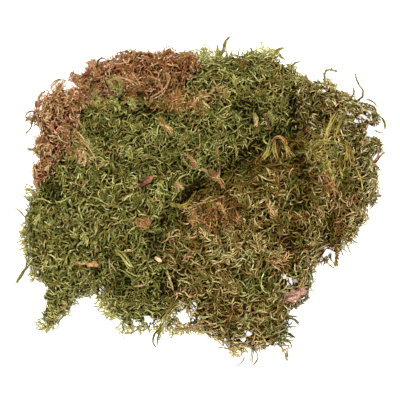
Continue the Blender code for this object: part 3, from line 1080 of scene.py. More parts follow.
@dataclass(frozen=True)
class Spill(Oval):
    """An area where some of a wad's shoots lie, and the share of them in its middle."""

    share: float

    def chance(self, x: np.ndarray, y: np.ndarray) -> np.ndarray:
        """Returns the chance that a shoot at each place belongs to the area."""
        return self.share * np.clip(1.6 - 1.1 * self.apart(x, y), 0, 1)


@dataclass(frozen=True)
class Patch(Spill):
    """An area where some of the shoots take another tone.

    Attributes:
        tone: lowest and highest tone there.
        fresh: added to their freshness.
    """

    tone: tuple[float, float]
    fresh: float = 0.0


@dataclass
class MossWad:
    """One wad of moss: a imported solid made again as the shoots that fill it.

    Attributes:
        node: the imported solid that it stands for.
        slot: the record's material slot.
        finish: its colours.
        style: how its shoots grow.
        per_square_cm: shoots to a square centimetre.
        tones: share, lowest and highest tone of each kind of shoot in it.
        patches: areas of another tone.
        spills: areas beyond the wad's own where some of its shoots lie too.
        strays: bunches that stick out of it.
        pieces: the pieces it is split into, from left to right.
        tuft_spacing: from one tuft to the next.
        tuft_share: how strongly the tufts show.
        fresh: mean freshness.
        skirt: how dense the shoots on its outer side are.
        seed: of its random draws.
    """

    node: str
    slot: str
    finish: MossFinish
    style: ShootStyle
    per_square_cm: float
    tones: tuple[tuple[float, float, float], ...]
    patches: tuple[Patch, ...] = ()
    spills: tuple[Spill, ...] = ()
    strays: tuple[Bunch, ...] = ()
    pieces: tuple[str, ...] = ()
    tuft_spacing: float = 9.0
    tuft_share: float = 1.0
    fresh: float = 0.62
    skirt: float = 1.0
    seed: int = 1
    tufts: Tufts = field(init=False)

    FROND_ANGLE = 52.0
    SLACK = 0.8  # how far a shoot stands above the mat before it is pressed down
    WALL_RIM = 0.85  # of the relief's rim, where the outer side stands
    WALL_WIDTH = 1.8  # of the strip where it stands
    SHADED_SIDE_PAINTED_LIGHT = 0.12  # painted light: how much paler the shoots on the slopes away from the key lamp are made
    RIM_PAINTED_LIGHT = 0.27  # painted light: how much paler the shoots at the rim, which stand in shade, are made

    def __post_init__(self) -> None:
        """Draws the wad's tufts."""
        self.tufts = Tufts(self.tuft_spacing, self.seed)

    def sow(self, relief: Relief, index: int, layer: Layer, rng: np.random.Generator) -> Shoots:
        """Plants one layer's shoots all over the part of the wad that shows.

        Args:
            relief: the clump's surface.
            index: this wad's number in it.
            layer: which layer.
            rng: of the draw.

        Returns:
            The planted shoots.
        """
        style = self.style
        steep = np.hypot(relief.slope_x, relief.slope_y)
        x, y = np.meshgrid(relief.xs, relief.ys)
        mixed = relief.mix[index] * relief.inside
        for spill in self.spills:
            mixed = np.maximum(mixed, spill.chance(x, y) * relief.outside_holes(x, y, 0.0))
        weight = mixed * np.minimum(np.sqrt(1 + steep**2), 2.0)
        weight *= 1 - 0.35 * np.clip(relief.hollow, 0, 1)
        if layer.wall:
            weight = self.skirt * mixed * (relief.rim < self.WALL_RIM) * relief.height / self.WALL_WIDTH
        expected = weight * (relief.STEP / 10) ** 2 * self.per_square_cm * layer.share
        x, y = relief.spread(expected, rng)
        count = len(x)
        base = np.maximum(relief.at(relief.shaped, x, y), relief.at(relief.roof, x, y) - 1)
        if layer.wall:
            base = base * rng.uniform(0.1, 1, count)
        slope_x, slope_y = relief.slopes(x, y)
        normal = unit(np.stack([-slope_x, -slope_y, np.ones(count)], -1))
        place = self.tufts.find(x, y)
        heading = place.heading + 1.1 * Ripple(30, self.seed + 5).at(x, y)
        heading += np.radians(style.stray) * rng.normal(0, 1, count)
        heading += math.pi * rng.integers(0, 2, count)
        rim = np.clip(2 * (1 - relief.at(relief.rim, x, y)), 0, 1)
        outward = unit(np.stack([-slope_x, -slope_y, np.zeros(count)], -1))
        tuft_out = np.stack([place.away_x, place.away_y, np.zeros(count)], -1) / self.tuft_spacing
        flat = np.stack([np.cos(heading), np.sin(heading), np.zeros(count)], -1)
        flat += 0.6 * tuft_out + (1.5 * rim**2)[:, None] * outward
        flat -= normal * (flat * normal).sum(-1, keepdims=True)
        flat = unit(flat)
        lift = np.radians(rng.uniform(*layer.lift, count))
        upright = rng.uniform(0, 1, count) < layer.upright
        lift = np.where(upright, np.radians(rng.uniform(45, 80, count)), lift)
        aim = flat * np.cos(lift)[:, None] + normal * np.sin(lift)[:, None]
        length = layer.length * rng.uniform(*style.length, count) * (1 - 0.25 * upright)
        depth = rng.uniform(*layer.depth, count)
        root = np.stack([x, y, base], -1) - normal * depth[:, None]
        root -= 0.4 * flat * length[:, None]  # so that the shoot's middle is where it was sown
        root[:, 2] = np.maximum(root[:, 2], Relief.LEAST)
        hinge = np.cross(aim, flat + 0.4 * rng.normal(0, 1, (count, 3)))
        hinge = hinge * rng.normal(0, 0.6, (count, 1)) + normal * rng.normal(0, 1, (count, 1))
        hinge -= aim * (hinge * aim).sum(-1, keepdims=True)
        bend = np.radians(rng.uniform(*style.bend, count)) * rng.choice([-1, 1], count)
        tone, fresh = self.colours(relief, x, y, place, rng)
        girth = rng.uniform(0.82, 1.2, count)
        return Shoots(root, aim, unit(hinge), length, bend, girth, tone, fresh + layer.fresh)

    def colours(
        self, relief: Relief, x: np.ndarray, y: np.ndarray, place: TuftPlace, rng: np.random.Generator
    ) -> tuple[np.ndarray, np.ndarray]:
        """Draws the tone and freshness of shoots, with painted shade in hollows and between tufts, and
        painted light on slopes away from the lamp and at the rim.

        Args:
            relief: the clump's surface.
            x: their X.
            y: their Y.
            place: where they lie in their tufts.
            rng: of the draw.

        Returns:
            Tone and freshness, one of each to a shoot.
        """
        count = len(x)
        shares = np.array([t[0] for t in self.tones])
        lowest = np.array([t[1] for t in self.tones])
        highest = np.array([t[2] for t in self.tones])
        # Neighbours share their kind: a smooth wave and a little chance pick it together.
        wave = 0.12 * Ripple(16, self.seed + 9).at(x, y) + rng.normal(0, 0.3, count)
        order = np.argsort(np.argsort(wave)) / max(count - 1, 1)
        kind = np.minimum(np.searchsorted(np.cumsum(shares) / shares.sum(), order), len(shares) - 1)
        tone = lowest[kind] + (highest - lowest)[kind] * rng.uniform(0, 1, count)
        fresh = self.fresh + 0.04 * place.pale + 0.04 * Ripple(22, self.seed + 13).at(x, y)
        # Painted shade: shoots in the hollows are made darker.
        fresh += rng.normal(0, 0.16, count) - 0.29 * np.clip(relief.at(relief.hollow, x, y), 0, 1)
        # Painted shade: darker where two tufts meet, in the dips between them.
        fresh += 0.06 * (place.edge - 0.6)
        # Painted light: shoots on slopes that face away from the key lamp are made paler.
        slope_x, slope_y = relief.slopes(x, y)
        lean_x, lean_y = Studio.KEY_LEAN
        lit = (1 - lean_x * slope_x - lean_y * slope_y) / np.sqrt(1 + slope_x**2 + slope_y**2)
        fresh += self.SHADED_SIDE_PAINTED_LIGHT * np.clip(1 - lit, 0, 1)
        # Painted light: shoots at the rim are made paler.
        fresh += self.RIM_PAINTED_LIGHT * np.clip(2 * (1 - relief.at(relief.rim, x, y)), 0, 1) ** 1.5
        for patch in self.patches:
            taken = rng.uniform(0, 1, count) < patch.chance(x, y)
            tone = np.where(taken, rng.uniform(*patch.tone, count), tone)
            fresh = np.where(taken, fresh + patch.fresh, fresh)
        return tone, fresh

    def grow(self, relief: Relief, index: int) -> None:
        """Builds the wad's pieces and dresses them.

        Args:
            relief: the clump's surface.
            index: this wad's number in it.
        """
        rng = np.random.default_rng(self.seed)
        style = self.style
        batches = []
        for layer in (UNDERGROWTH, FRONDS, TOP_SHOOTS, LONG_STRANDS, SKIRT):
            shoots = self.sow(relief, index, layer, rng)
            spines = relief.settle(shoots.spines(style.joints + layer.joints, rng), self.SLACK)
            batches.append((shoots, spines, style.leaves if layer.leafy else 0))
            if layer is FRONDS:
                side = side_shoots(shoots, spines, self.FROND_ANGLE, (0.44, 0.18), rng)
                batches.append(
                    (side, relief.settle(side.spines(style.joints - 1, rng), self.SLACK), style.leaves),
                )
        for number, (batch, spines, leaves) in enumerate(batches):
            clear = relief.outside_holes(spines[..., 0], spines[..., 1], -0.3).all(axis=1)
            batches[number] = (batch.part(clear), spines[clear], leaves)
        for bunch in self.strays:
            batches.extend(bunch.strands(relief, rng))
        reach = np.concatenate([spines[:, 0, 0] for _, spines, _ in batches])
        cuts = np.quantile(reach, np.linspace(0, 1, len(self.pieces) + 1)[1:-1])
        material = self.finish.make()
        for number, name in enumerate(self.pieces):
            heap = Heap()
            for batch, spines, leaves in batches:
                strip = np.searchsorted(cuts, spines[:, 0, 0]) == number
                if strip.any():
                    own = spines[strip]
                    add_shoots(heap, own, batch.part(strip), style, leaves, relief.buried(own), rng)
            heap.piece(name, material, self.slot, self.node)


class Grain(Enum):
    """What shows on a dry scrap."""

    VEINS = "veins that leave a midrib"
    FIBRES = "fibres along the length"


@dataclass(frozen=True)
class DryFinish:
    """Dead plant skin, air dried: papery, matt to satin, blotched, with veins or fibres.

    Attributes:
        name: the material's name.
        colours: its blotches, from dark to pale.
        rim: colour towards its torn margin.
        far: colour towards its far end.
        grain: what shows on it.
        roughness: of its surface.
    """

    name: str
    colours: Stops
    rim: str
    far: str
    grain: Grain
    roughness: float = 0.7

    def make(self) -> bpy.types.Material:
        """Returns the material, which reads the way along and across from the piece's own map."""
        material, tree, shader = new_material(self.name)
        veined = self.grain is Grain.VEINS
        places = add_node(tree, "UVMap", {"uv_map": BAKE_MAP}, {})
        # On a scrap about 10 mm long, blotches are 1.5 mm and fibres 0.1 mm wide.
        flat = {"noise_dimensions": "2D"}
        blotches = add_node(tree, "TexNoise", flat, {"Vector": places, "Scale": 6.0, "Detail": 5.0})
        stretch = (34.0, 5.0, 1.0) if veined else (3.0, 26.0, 1.0)
        stretched = add_node(tree, "VectorMath", {"operation": "MULTIPLY"}, {0: places, 1: stretch})
        noise = {"Scale": 1.0, "Detail": 3.0, "Distortion": 0.4}
        lines = add_node(tree, "TexNoise", flat, {"Vector": stretched, **noise})
        parts = add_node(tree, "SeparateXYZ", {}, {"Vector": places})
        aside = add_node(tree, "Math", {"operation": "SUBTRACT"}, {0: parts.outputs["Y"], 1: 0.5})
        aside = add_node(tree, "Math", {"operation": "ABSOLUTE"}, {0: aside})
        far = {"Value": parts.outputs["X"], "From Min": 0.45, "From Max": 0.95, "To Max": 0.8}
        margin = {"Value": aside, "From Min": 0.3, "From Max": 0.5, "To Max": 0.75}
        rib = {"Value": aside, "From Max": 0.05, "To Min": 0.35 if veined else 0.0, "To Max": 0.0}
        colour = add_node(tree, "ValToRGB", {}, {"Fac": blotches}, self.colours)
        for area, code in ((far, self.far), (margin, self.rim), (rib, self.colours[-1][1])):
            shades = {"Factor": add_node(tree, "MapRange", {}, area), 6: colour, 7: linear(code)}
            colour = add_node(tree, "Mix", {"data_type": "RGBA"}, shades).outputs[2]
        contrast = {"From Min": 0.3, "From Max": 0.7, "To Min": 0.62, "To Max": 1.25}
        shade = add_node(tree, "MapRange", {}, {"Value": lines, **contrast})
        shaded = add_node(tree, "VectorMath", {"operation": "SCALE"}, {0: colour, "Scale": shade})
        bump = add_node(tree, "Bump", {}, {"Height": lines, "Strength": 0.5, "Distance": 0.12 * MM})
        surface = {"Base Color": shaded, "Normal": bump, "Roughness": self.roughness}
        feed(tree, shader, {**surface, "IOR": LEAF_IOR, "Specular IOR Level": 0.35})
        return material


@dataclass
class Litter:
    """A piece that is caught on top of the moss.

    Attributes:
        node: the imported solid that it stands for.
        slot: the record's material slot.
        finish: its colours.
    """

    node: str
    slot: str
    finish: "MossFinish | DryFinish"

    def hand_over(self, heap: Heap) -> None:
        """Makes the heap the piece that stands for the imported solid."""
        heap.piece(self.node + "_detailed", self.finish.make(), self.slot, self.node)


@dataclass
class FrondLitter(Litter):
    """Loose fronds on top of the moss, made of bunches of strands.

    Attributes:
        style: of their strands.
        bunches: what they are made of.
        seed: of their random draws.
    """

    style: ShootStyle
    bunches: tuple[Bunch, ...]
    seed: int

    def build(self, relief: Relief) -> None:
        """Builds the piece and dresses it.

        Args:
            relief: the clump's surface.
        """
        rng = np.random.default_rng(self.seed)
        heap = Heap()
        for bunch in self.bunches:
            for shoots, spines, leaves in bunch.strands(relief, rng):
                level = np.zeros(spines.shape[:2])
                add_shoots(heap, spines, shoots, self.style, leaves, level, rng)
        self.hand_over(heap)


@dataclass
class LeafScrap(Litter):
    """A thin scrap of dry leaf, curled, wrinkled and torn, closed all round.

    Attributes:
        middle: X and Y of its middle.
        length: along its heading.
        width: across it.
        heading: in degrees from +X.
        outline: share of the length, and half-widths to the left and right as shares of the width.
        curl: how far its long edges rise.
        arch: how far its middle rises above its ends.
        wrinkle: height of its wrinkles.
        height: of its underside above the moss.
        seed: of its wrinkles and tears.
    """

    middle: tuple[float, float]
    length: float
    width: float
    heading: float
    outline: tuple[tuple[float, float, float], ...]
    curl: float = 1.0
    arch: float = 0.4
    wrinkle: float = 0.25
    height: float = 0.9
    seed: int = 1

    THICKNESS = 0.16
    SINK = 0.8  # how far the scrap may press into moss that stands higher than its middle
    ALONG = 36
    ACROSS = 14

    def base(self, relief: Relief) -> float:
        """Returns the height of the moss under the scrap's middle."""
        x, y = (np.array([v]) for v in self.middle)
        return float(relief.at(relief.roof, x, y)[0])

    def footprint(self, relief: Relief) -> Footprint:
        """Returns the oval that the scrap presses down."""
        half_length, half_width = 0.48 * self.length, 0.42 * self.width
        return Footprint(
            *self.middle, half_length, half_width, self.heading, self.base(relief) + self.height,
        )

    def build(self, relief: Relief) -> None:
        """Builds the piece and dresses it.

        Args:
            relief: the clump's surface.
        """
        rng = np.random.default_rng(self.seed)
        u, v = np.meshgrid(np.linspace(0, 1, self.ALONG), np.linspace(-1, 1, self.ACROSS), indexing="ij")
        share, left, right = np.array(self.outline).T
        tear = 1 - 0.16 * rng.uniform(0, 1, (2, self.ALONG)) ** 2
        right, left = (np.interp(u[:, 0], share, side) * torn for side, torn in zip((right, left), tear))
        half = np.where(v < 0, right[:, None], left[:, None])
        along, across = (u - 0.5) * self.length, v * half * self.width
        turn = math.radians(self.heading)
        x = self.middle[0] + along * math.cos(turn) - across * math.sin(turn)
        y = self.middle[1] + along * math.sin(turn) + across * math.cos(turn)
        rise = self.curl * np.abs(v) ** 2 * half * 2 + self.arch * np.sin(math.pi * u)
        ripple = Ripple(2.6, self.seed + 3, 12).at(x, y) + 0.5 * Ripple(1.3, self.seed + 4, 12).at(x, y)
        moss = np.maximum(self.base(relief), relief.at(relief.roof, x, y) - self.SINK)
        top = moss + self.height + rise + self.wrinkle * ripple
        upper = np.stack([x, y, top + self.THICKNESS], -1).reshape(-1, 3)
        lower = np.stack([x, y, top], -1).reshape(-1, 3)
        heap = Heap()
        number = np.arange(u.size).reshape(u.shape)
        a, b, c, d = number[:-1, :-1], number[1:, :-1], number[1:, 1:], number[:-1, 1:]
        quads = np.stack([a, b, c, d], -1).reshape(-1, 4)
        faces = [quads[:, (0, 1, 2)], quads[:, (0, 2, 3)]]
        faces += [quads[:, (0, 2, 1)] + u.size, quads[:, (0, 3, 2)] + u.size]
        ring = np.concatenate([number[:, 0], number[-1, 1:], number[-2::-1, -1], number[0, -2:0:-1]])
        after = np.roll(ring, -1)
        faces.append(np.stack([ring, ring + u.size, after + u.size], -1))
        faces.append(np.stack([ring, after + u.size, after], -1))
        places = np.stack([u, (v + 1) / 2], -1).reshape(-1, 2) * 0.96 + 0.02
        corners = np.concatenate([upper, lower])
        heap.add(corners, np.concatenate(faces), np.concatenate([places, places]), True)
        self.hand_over(heap)


@dataclass
class Stem(Litter):
    """A stem, twig or straw: uneven rods that taper to broken ends.

    Attributes:
        routes: the way of each rod, X and Y.
        radius: at the start and at the end.
        rough: how uneven it is, as a share of its radius.
        knots: how many thicker joints a rod has.
        height: of its axis above the moss.
        seed: of its unevenness.
    """

    routes: tuple[Route, ...]
    radius: tuple[float, float]
    rough: float = 0.14
    knots: int = 2
    height: float = 1.0
    seed: int = 1

    SIDES = 8
    RINGS = 26

    def build(self, relief: Relief) -> None:
        """Builds the piece and dresses it.

        Args:
            relief: the clump's surface.
        """
        rng = np.random.default_rng(self.seed)
        heap = Heap()
        for route in self.routes:
            shares = np.linspace(0, 1, self.RINGS)
            place = along_route(smoothed(route), shares)
            drift = np.cumsum(rng.normal(0, 0.5, place.shape), axis=0)
            place = place + 0.12 * drift / math.sqrt(self.RINGS)
            z = relief.at(relief.roof, place[:, 0], place[:, 1]) + self.height
            for _ in range(6):
                z[1:-1] = (z[:-2] + 2 * z[1:-1] + z[2:]) / 4
            axis = np.column_stack([place, z])
            ahead = unit(np.gradient(axis, axis=0))
            side = unit(np.cross(ahead, [0.0, 0.0, 1.0]))
            up = np.cross(side, ahead)
            radius = np.interp(shares, [0, 1], self.radius)
            radius = radius * (1 + self.rough * rng.normal(0, 0.6, self.RINGS))
            for knot in rng.uniform(0.15, 0.85, self.knots):
                radius = radius * (1 + 0.45 * np.exp(-(((shares - knot) / 0.03) ** 2)))
            radius = radius * np.clip(np.minimum(shares, 1 - shares) * 14 + 0.35, 0, 1)
            turn = 2 * math.pi * np.arange(self.SIDES) / self.SIDES
            out = side[:, None] * np.cos(turn)[:, None] + up[:, None] * np.sin(turn)[:, None]
            uneven = 1 + self.rough * rng.normal(0, 0.5, (self.RINGS, self.SIDES))
            rings = axis[:, None] + out * (radius[:, None] * uneven)[..., None]
            corners = np.concatenate([rings.reshape(-1, 3), axis[:1], axis[-1:]])
            corners[:, 2] = np.maximum(corners[:, 2], ABOVE_TABLE)
            around = np.abs(2 * np.arange(self.SIDES) / self.SIDES - 1)
            places = np.stack(
                np.broadcast_arrays(shares[:, None] * 0.96 + 0.02, 0.02 + 0.96 * around[None]), -1,
            )
            places = np.concatenate([places.reshape(-1, 2), [[0.02, 0.5], [0.98, 0.5]]])
            number = np.arange(self.RINGS * self.SIDES).reshape(self.RINGS, self.SIDES)
            here, there = number, np.roll(number, -1, 1)
            a, b, c, d = here[:-1], here[1:], there[1:], there[:-1]
            first, last = self.RINGS * self.SIDES, self.RINGS * self.SIDES + 1
            faces = [np.stack(t, -1).reshape(-1, 3) for t in ((a, b, c), (a, c, d))]
            faces.append(np.stack([np.full(self.SIDES, first), here[0], there[0]], -1))
            faces.append(np.stack([np.full(self.SIDES, last), there[-1], here[-1]], -1))
            heap.add(corners, np.concatenate(faces), places, True)
        self.hand_over(heap)


@dataclass
class PeatFelt:
    """The felt of dead stems that the shoots grow out of, from just above the table."""

    step: int = 2  # grid steps to a cell
    inset: int = 2  # grid steps in from the outline
    below: float = 3.0  # under the tips
    least: float = 1.0
    underside: float = 0.3
    margin: float = 0.4  # round the holes
    seed: int = 77

    def build(self, relief: Relief) -> None:
        """Builds and dresses the felt.

        Args:
            relief: the clump's surface.
        """
        rng = np.random.default_rng(self.seed)
        inside = relief.owner >= 0
        for _ in range(self.inset):
            for axis in (0, 1):
                inside &= np.roll(inside, 1, axis) & np.roll(inside, -1, axis)
        x, y = np.meshgrid(relief.xs, relief.ys)
        inside &= relief.outside_holes(x, y, self.margin)
        pick = (slice(None, None, self.step), slice(None, None, self.step))
        inside, x, y = inside[pick], x[pick], y[pick]
        top = relief.blurred(relief.shaped, 1)[pick] - self.below + rng.normal(0, 0.45, x.shape)
        top = np.maximum(top, self.least + rng.uniform(0, 0.5, x.shape))
        bottom = self.underside + rng.uniform(0, 0.35, x.shape)
        x = x + rng.uniform(-0.5, 0.5, x.shape)
        y = y + rng.uniform(-0.5, 0.5, x.shape)
        cell = inside[:-1, :-1] & inside[1:, :-1] & inside[:-1, 1:] & inside[1:, 1:]
        number = np.arange(x.size).reshape(x.shape)
        a, b, c, d = number[:-1, :-1], number[:-1, 1:], number[1:, 1:], number[1:, :-1]
        low = x.size
        faces = []
        for ring in ((a, b, c, d), (d + low, c + low, b + low, a + low)):
            quads = np.stack([corner[cell] for corner in ring], -1)
            faces += [quads[:, (0, 1, 2)], quads[:, (0, 2, 3)]]
        padded = np.pad(cell, 1)
        walls = (
            (padded[:-2, 1:-1], a, b),
            (padded[1:-1, 2:], b, c),
            (padded[2:, 1:-1], c, d),
            (padded[1:-1, :-2], d, a),
        )
        for beyond, start, end in walls:
            edge = cell & ~beyond
            p, q = start[edge], end[edge]
            faces += [np.stack([q, p, p + low], -1), np.stack([q, p + low, q + low], -1)]
        faces = np.concatenate(faces)
        corners = np.concatenate([np.stack([x, y, z], -1).reshape(-1, 3) for z in (top, bottom)])
        used, compact = np.unique(faces, return_inverse=True)
        corners = corners[used]
        places = (corners[:, :2] - corners[:, :2].min(0)) / np.ptp(corners[:, :2], axis=0)
        heap = Heap()
        heap.add(corners, compact.reshape(-1, 3), places, False)
        heap.piece("dead_stem_felt", FeltFinish().make(), "dead_brown_moss")


@dataclass
class Studio:
    """A light table, lamps above it and a camera that looks straight down."""

    pixel: float = 0.6  # of the photograph, on the clump
    picture: int = 400  # pixels across
    focal_length: float = 150.0
    sensor: float = 36.0
    focus_height: float = 14.0
    table_size: float = 6000.0
    sky_strength: float = 0.44
    key_strength: float = 4.6
    key_angle: float = 5.0
    fill_strength: float = 1.05
    fill_angle: float = 40.0
    table_glow: float = 0.9

    KEY_LEAN: ClassVar[tuple[float, float]] = (-0.34, 0.4)
    FILL_LEAN: ClassVar[tuple[float, float]] = (0.7, -0.35)

    def build(self) -> None:
        """Builds the table, the lights and the camera."""
        scene = bpy.context.scene
        scene.view_settings.view_transform = "Standard"
        self.table()
        self.sky(scene)
        self.sun("key_light", self.key_strength, self.key_angle, self.KEY_LEAN)
        self.sun("fill_light", self.fill_strength, self.fill_angle, self.FILL_LEAN)
        distance = self.pixel * self.picture * self.focal_length / self.sensor + self.focus_height
        lens = bpy.data.cameras.new("camera_above")
        lens.lens = self.focal_length
        lens.sensor_width = self.sensor
        lens.clip_end = 50.0
        camera = bpy.data.objects.new("camera_above", lens)
        camera.location = (0, 0, distance * MM)
        scene.collection.objects.link(camera)
        scene.camera = camera

    def table(self) -> None:
        """Lays the clump on an opal sheet that is lit from below, so that shadows hardly show."""
        bpy.ops.mesh.primitive_plane_add(size=self.table_size * MM)
        table = bpy.context.object
        table.name = "table"
        material, tree, shader = new_material("acrylic_opal_backlit")
        places = add_node(tree, "TexCoord", {}, {}).outputs["Object"]
        grain = add_node(tree, "TexNoise", {}, {"Vector": places, "Scale": 300.0})
        colour = add_node(tree, "ValToRGB", {}, {"Fac": grain}, ((0.3, "#F6F6F5"), (0.7, "#FCFCFB")))
        glow = {"Emission Color": linear("#FFFFFF"), "Emission Strength": self.table_glow}
        feed(tree, shader, {"Base Color": colour, "Roughness": 0.9, "Specular IOR Level": 0.1, **glow})
        table.data.materials.append(material)

    def sky(self, scene: bpy.types.Scene) -> None:
        """Fills the room with even light."""
        world = bpy.data.worlds.new("studio_air")
        world.use_nodes = True
        air = world.node_tree.nodes["Background"]
        feed(world.node_tree, air, {"Color": linear("#FFFFFF"), "Strength": self.sky_strength})
        scene.world = world

    def sun(self, name: str, strength: float, angle: float, lean: tuple[float, float]) -> None:
        """Hangs one distant lamp.

        Args:
            name: of the lamp.
            strength: of its light.
            angle: how wide it looks, in degrees; wide lamps cast soft shadows.
            lean: X and Y of the way towards it, with Z at one.
        """
        data = bpy.data.lights.new(name, "SUN")
        data.energy = strength
        data.angle = math.radians(angle)
        lamp = bpy.data.objects.new(name, data)
        lamp.rotation_euler = Vector((lean[0], lean[1], 1.0)).to_track_quat("Z", "Y").to_euler()
        bpy.context.scene.collection.objects.link(lamp)


FINE_SHOOTS = ShootStyle(length=(3.2, 6.8), joints=6, radius=0.33, leaves=3, leaf=(0.9, 0.34))
CURLY_SHOOTS = ShootStyle(
    length=(4.5, 10.0), joints=7, radius=0.36, leaves=3, leaf=(1.1, 0.4), bend=(25.0, 125.0), stray=55.0,
)
CRISP_SHOOTS = ShootStyle(
    length=(2.4, 5.4), joints=6, radius=0.27, leaves=4, leaf=(1.0, 0.4), splay=36.0, bend=(20.0, 125.0),
    stray=80.0,
)


def stray(*route: tuple[float, float], count: int = 1, **traits: object) -> Bunch:
    """Returns the few strands that lie loose along a route; a lone one keeps to it."""
    usual = {"width": 0.9 * (count - 1), "height": 0.3, "waver": 0.6, "loose": 0.7}
    usual |= {"girth": (1.2, 1.6), "fresh": (0.36, 0.66)}
    if count > 1:
        usual |= {"scatter": 8.0, "curl": 0.1}
    return Bunch(route, count, **(usual | traits))


def shoulder_sprig(*route: tuple[float, float], count: int) -> Bunch:
    """Returns green leafy strands that run over the brown shoulder."""
    spread = {"width": 4.0, "scatter": 18.0, "curl": 0.2, "height": 0.7, "loose": 0.9, "take": (0.4, 0.8)}
    leafy = {"girth": (0.85, 1.2), "tone": (0.15, 0.5), "fresh": (0.56, 0.84), "barbs": 0.2}
    return stray(*route, count=count, **spread, **leafy)


def yellow_comb(*route: tuple[float, float]) -> Bunch:
    """Returns one yellow strand with side shoots, as on a comb."""
    return stray(*route, height=0.9, tone=(0, 0.3), fresh=(0.7, 0.86), barbs=0.3)


def tangle(
    *route: tuple[float, float], count: int, width: float, take: tuple[float, float], **traits: object
) -> Bunch:
    """Returns short strands that lie every way along a route, close to the moss."""
    usual = {"height": 0.1, "girth": (1.0, 1.5), "fresh": (0.26, 0.64), "scatter": 60, "curl": 0.5}
    return Bunch(route, count, width, take=take, **(usual | traits))


# Beyond each wad's own area: strands that stick out of it or cross it, and rims that it spills over.
GREEN_SPILLS = (
    Spill(-56, -62, 7, 7, 60, 1.5),
    Spill(-66, -56, 9, 3.5, 0, 1.5),
    Spill(-55, -69, 11, 2.6, -52, 1.6),
    Spill(-94.5, -76.5, 5, 4, 0, 1.4),
    Spill(-40, -78, 12, 2.8, 0, 1.4),
    Spill(-102, -45, 2.2, 5, 0, 1.5),
    Spill(-107, -23, 3.2, 9, 0, 1.3),
    Spill(-14, -79, 15, 2.8, 0, 1.2),
    Spill(6, 87.5, 14, 3.6, 0, 1.5),
    Spill(38, 88.5, 12, 3, -3, 1.5),
    Spill(61, 74, 6, 2.8, -35, 1.3),
    Spill(-103.5, 4, 3, 5, 0, 1.4),
)
GREEN_STRAYS = (
    stray((-94.8, 28.8), (-99.6, 30), (-105.6, 30.6), count=4),
    stray((-106.2, -10.2), (-109.8, -6.6), (-113.4, -4.2)),
    stray((-104, -38), (-108, -43.2), (-109.8, -48), (-111, -52.2), count=3),
    stray((-103, -38), (-100, -44), (-97, -50)),
    stray((-104.5, -18), (-108.5, -20)),
    stray((-105, -24), (-109, -27)),
    stray((10.8, 84), (11.4, 90), (10.8, 95), count=3),
    stray((11.6, 85), (14.4, 91), (14.4, 96), (19, 99.6), count=3),
    stray((44, 88), (48, 91), (51, 93.4), count=3),
    stray((46, 92), (48.6, 87), (53, 83.6), count=2),
    stray((55, 80), (58, 84), (62, 84), count=2),
    stray((28.2, 90.6), (33.6, 87.6)),
    stray((58.8, 81), (56.4, 76)),
    stray((-16.8, -77), (-17, -81), (-17.4, -85)),
    stray(
        (-22, -77), (-28, -80), (-29, -87), (-25, -90), girth=(1.8, 2.0), tone=(0, 0.3), fresh=(0.3, 0.5),
    ),
    stray(
        (-21, -77), (-25.6, -81), (-26.4, -86), (-25, -90), girth=(1.6, 1.8), tone=(0, 0.3),
        fresh=(0.3, 0.5),
    ),
    stray(
        (-13, -62), (-18, -68), (-25, -78), count=11, width=5.0, girth=(0.8, 1.1), tone=(0.5, 0.8),
        fresh=(0.5, 0.86), height=0.8, scatter=12,
    ),
    stray(
        (-15, -77), (-6, -77.4), (2, -76), count=8, width=3.0, scatter=14, loose=1.2, girth=(0.8, 1.1),
        tone=(0.85, 1), fresh=(0.4, 0.8),
    ),
    shoulder_sprig((-54.6, 76), (-51.6, 71), (-48.6, 66), (-48, 60), count=5),
    shoulder_sprig((-64.4, 68), (-62.8, 62), (-62.6, 54), count=3),
    shoulder_sprig((-46, 63.6), (-41, 60), (-38, 56), count=4),
    shoulder_sprig((-57, 64), (-51, 60), (-46, 53), count=4),
    stray((-23, -74), (-25, -80), (-24, -86), count=2),
    stray((-36, -78), (-44, -81.4), (-48, -80.6)),
    stray((-48, -80), (-45.6, -83.6), (-42, -85.4), girth=(0.7, 0.9)),
    stray((-39, -47.8), (-43, -44), (-48, -42), fresh=(0.7, 0.8), height=0.9),
    stray((-51, -30), (-46, -33), (-43, -38), (-41, -41), count=5, fresh=(0.62, 0.78), height=0.9),
    stray((-40, -52), (-36, -51.4), (-32.4, -50), tone=(0.9, 1), fresh=(0.8, 0.85), height=0.9),
    stray((32, 52), (33, 48), (33.4, 44), count=5, tone=(0.6, 0.7), fresh=(0.74, 0.84), height=0.8),
    stray((21, 34), (21.4, 30), (21, 26), count=3, tone=(0.7, 0.8), fresh=(0.76, 0.84), height=0.8),
    stray((1, 60), (4, 57), (6, 54), tone=(0.8, 0.9), fresh=(0.84, 0.88), height=0.9),
    stray(
        (-25, 49), (-22, 45), (-19, 42), (-16, 38.6), count=6, width=4.0, tone=(0.8, 1), fresh=(0.6, 0.84),
        height=0.9, scatter=14,
    ),
    stray((-24, 46), (-19, 44), (-17, 41), count=3, tone=(0.9, 1), fresh=(0.8, 0.88), height=0.9),
)
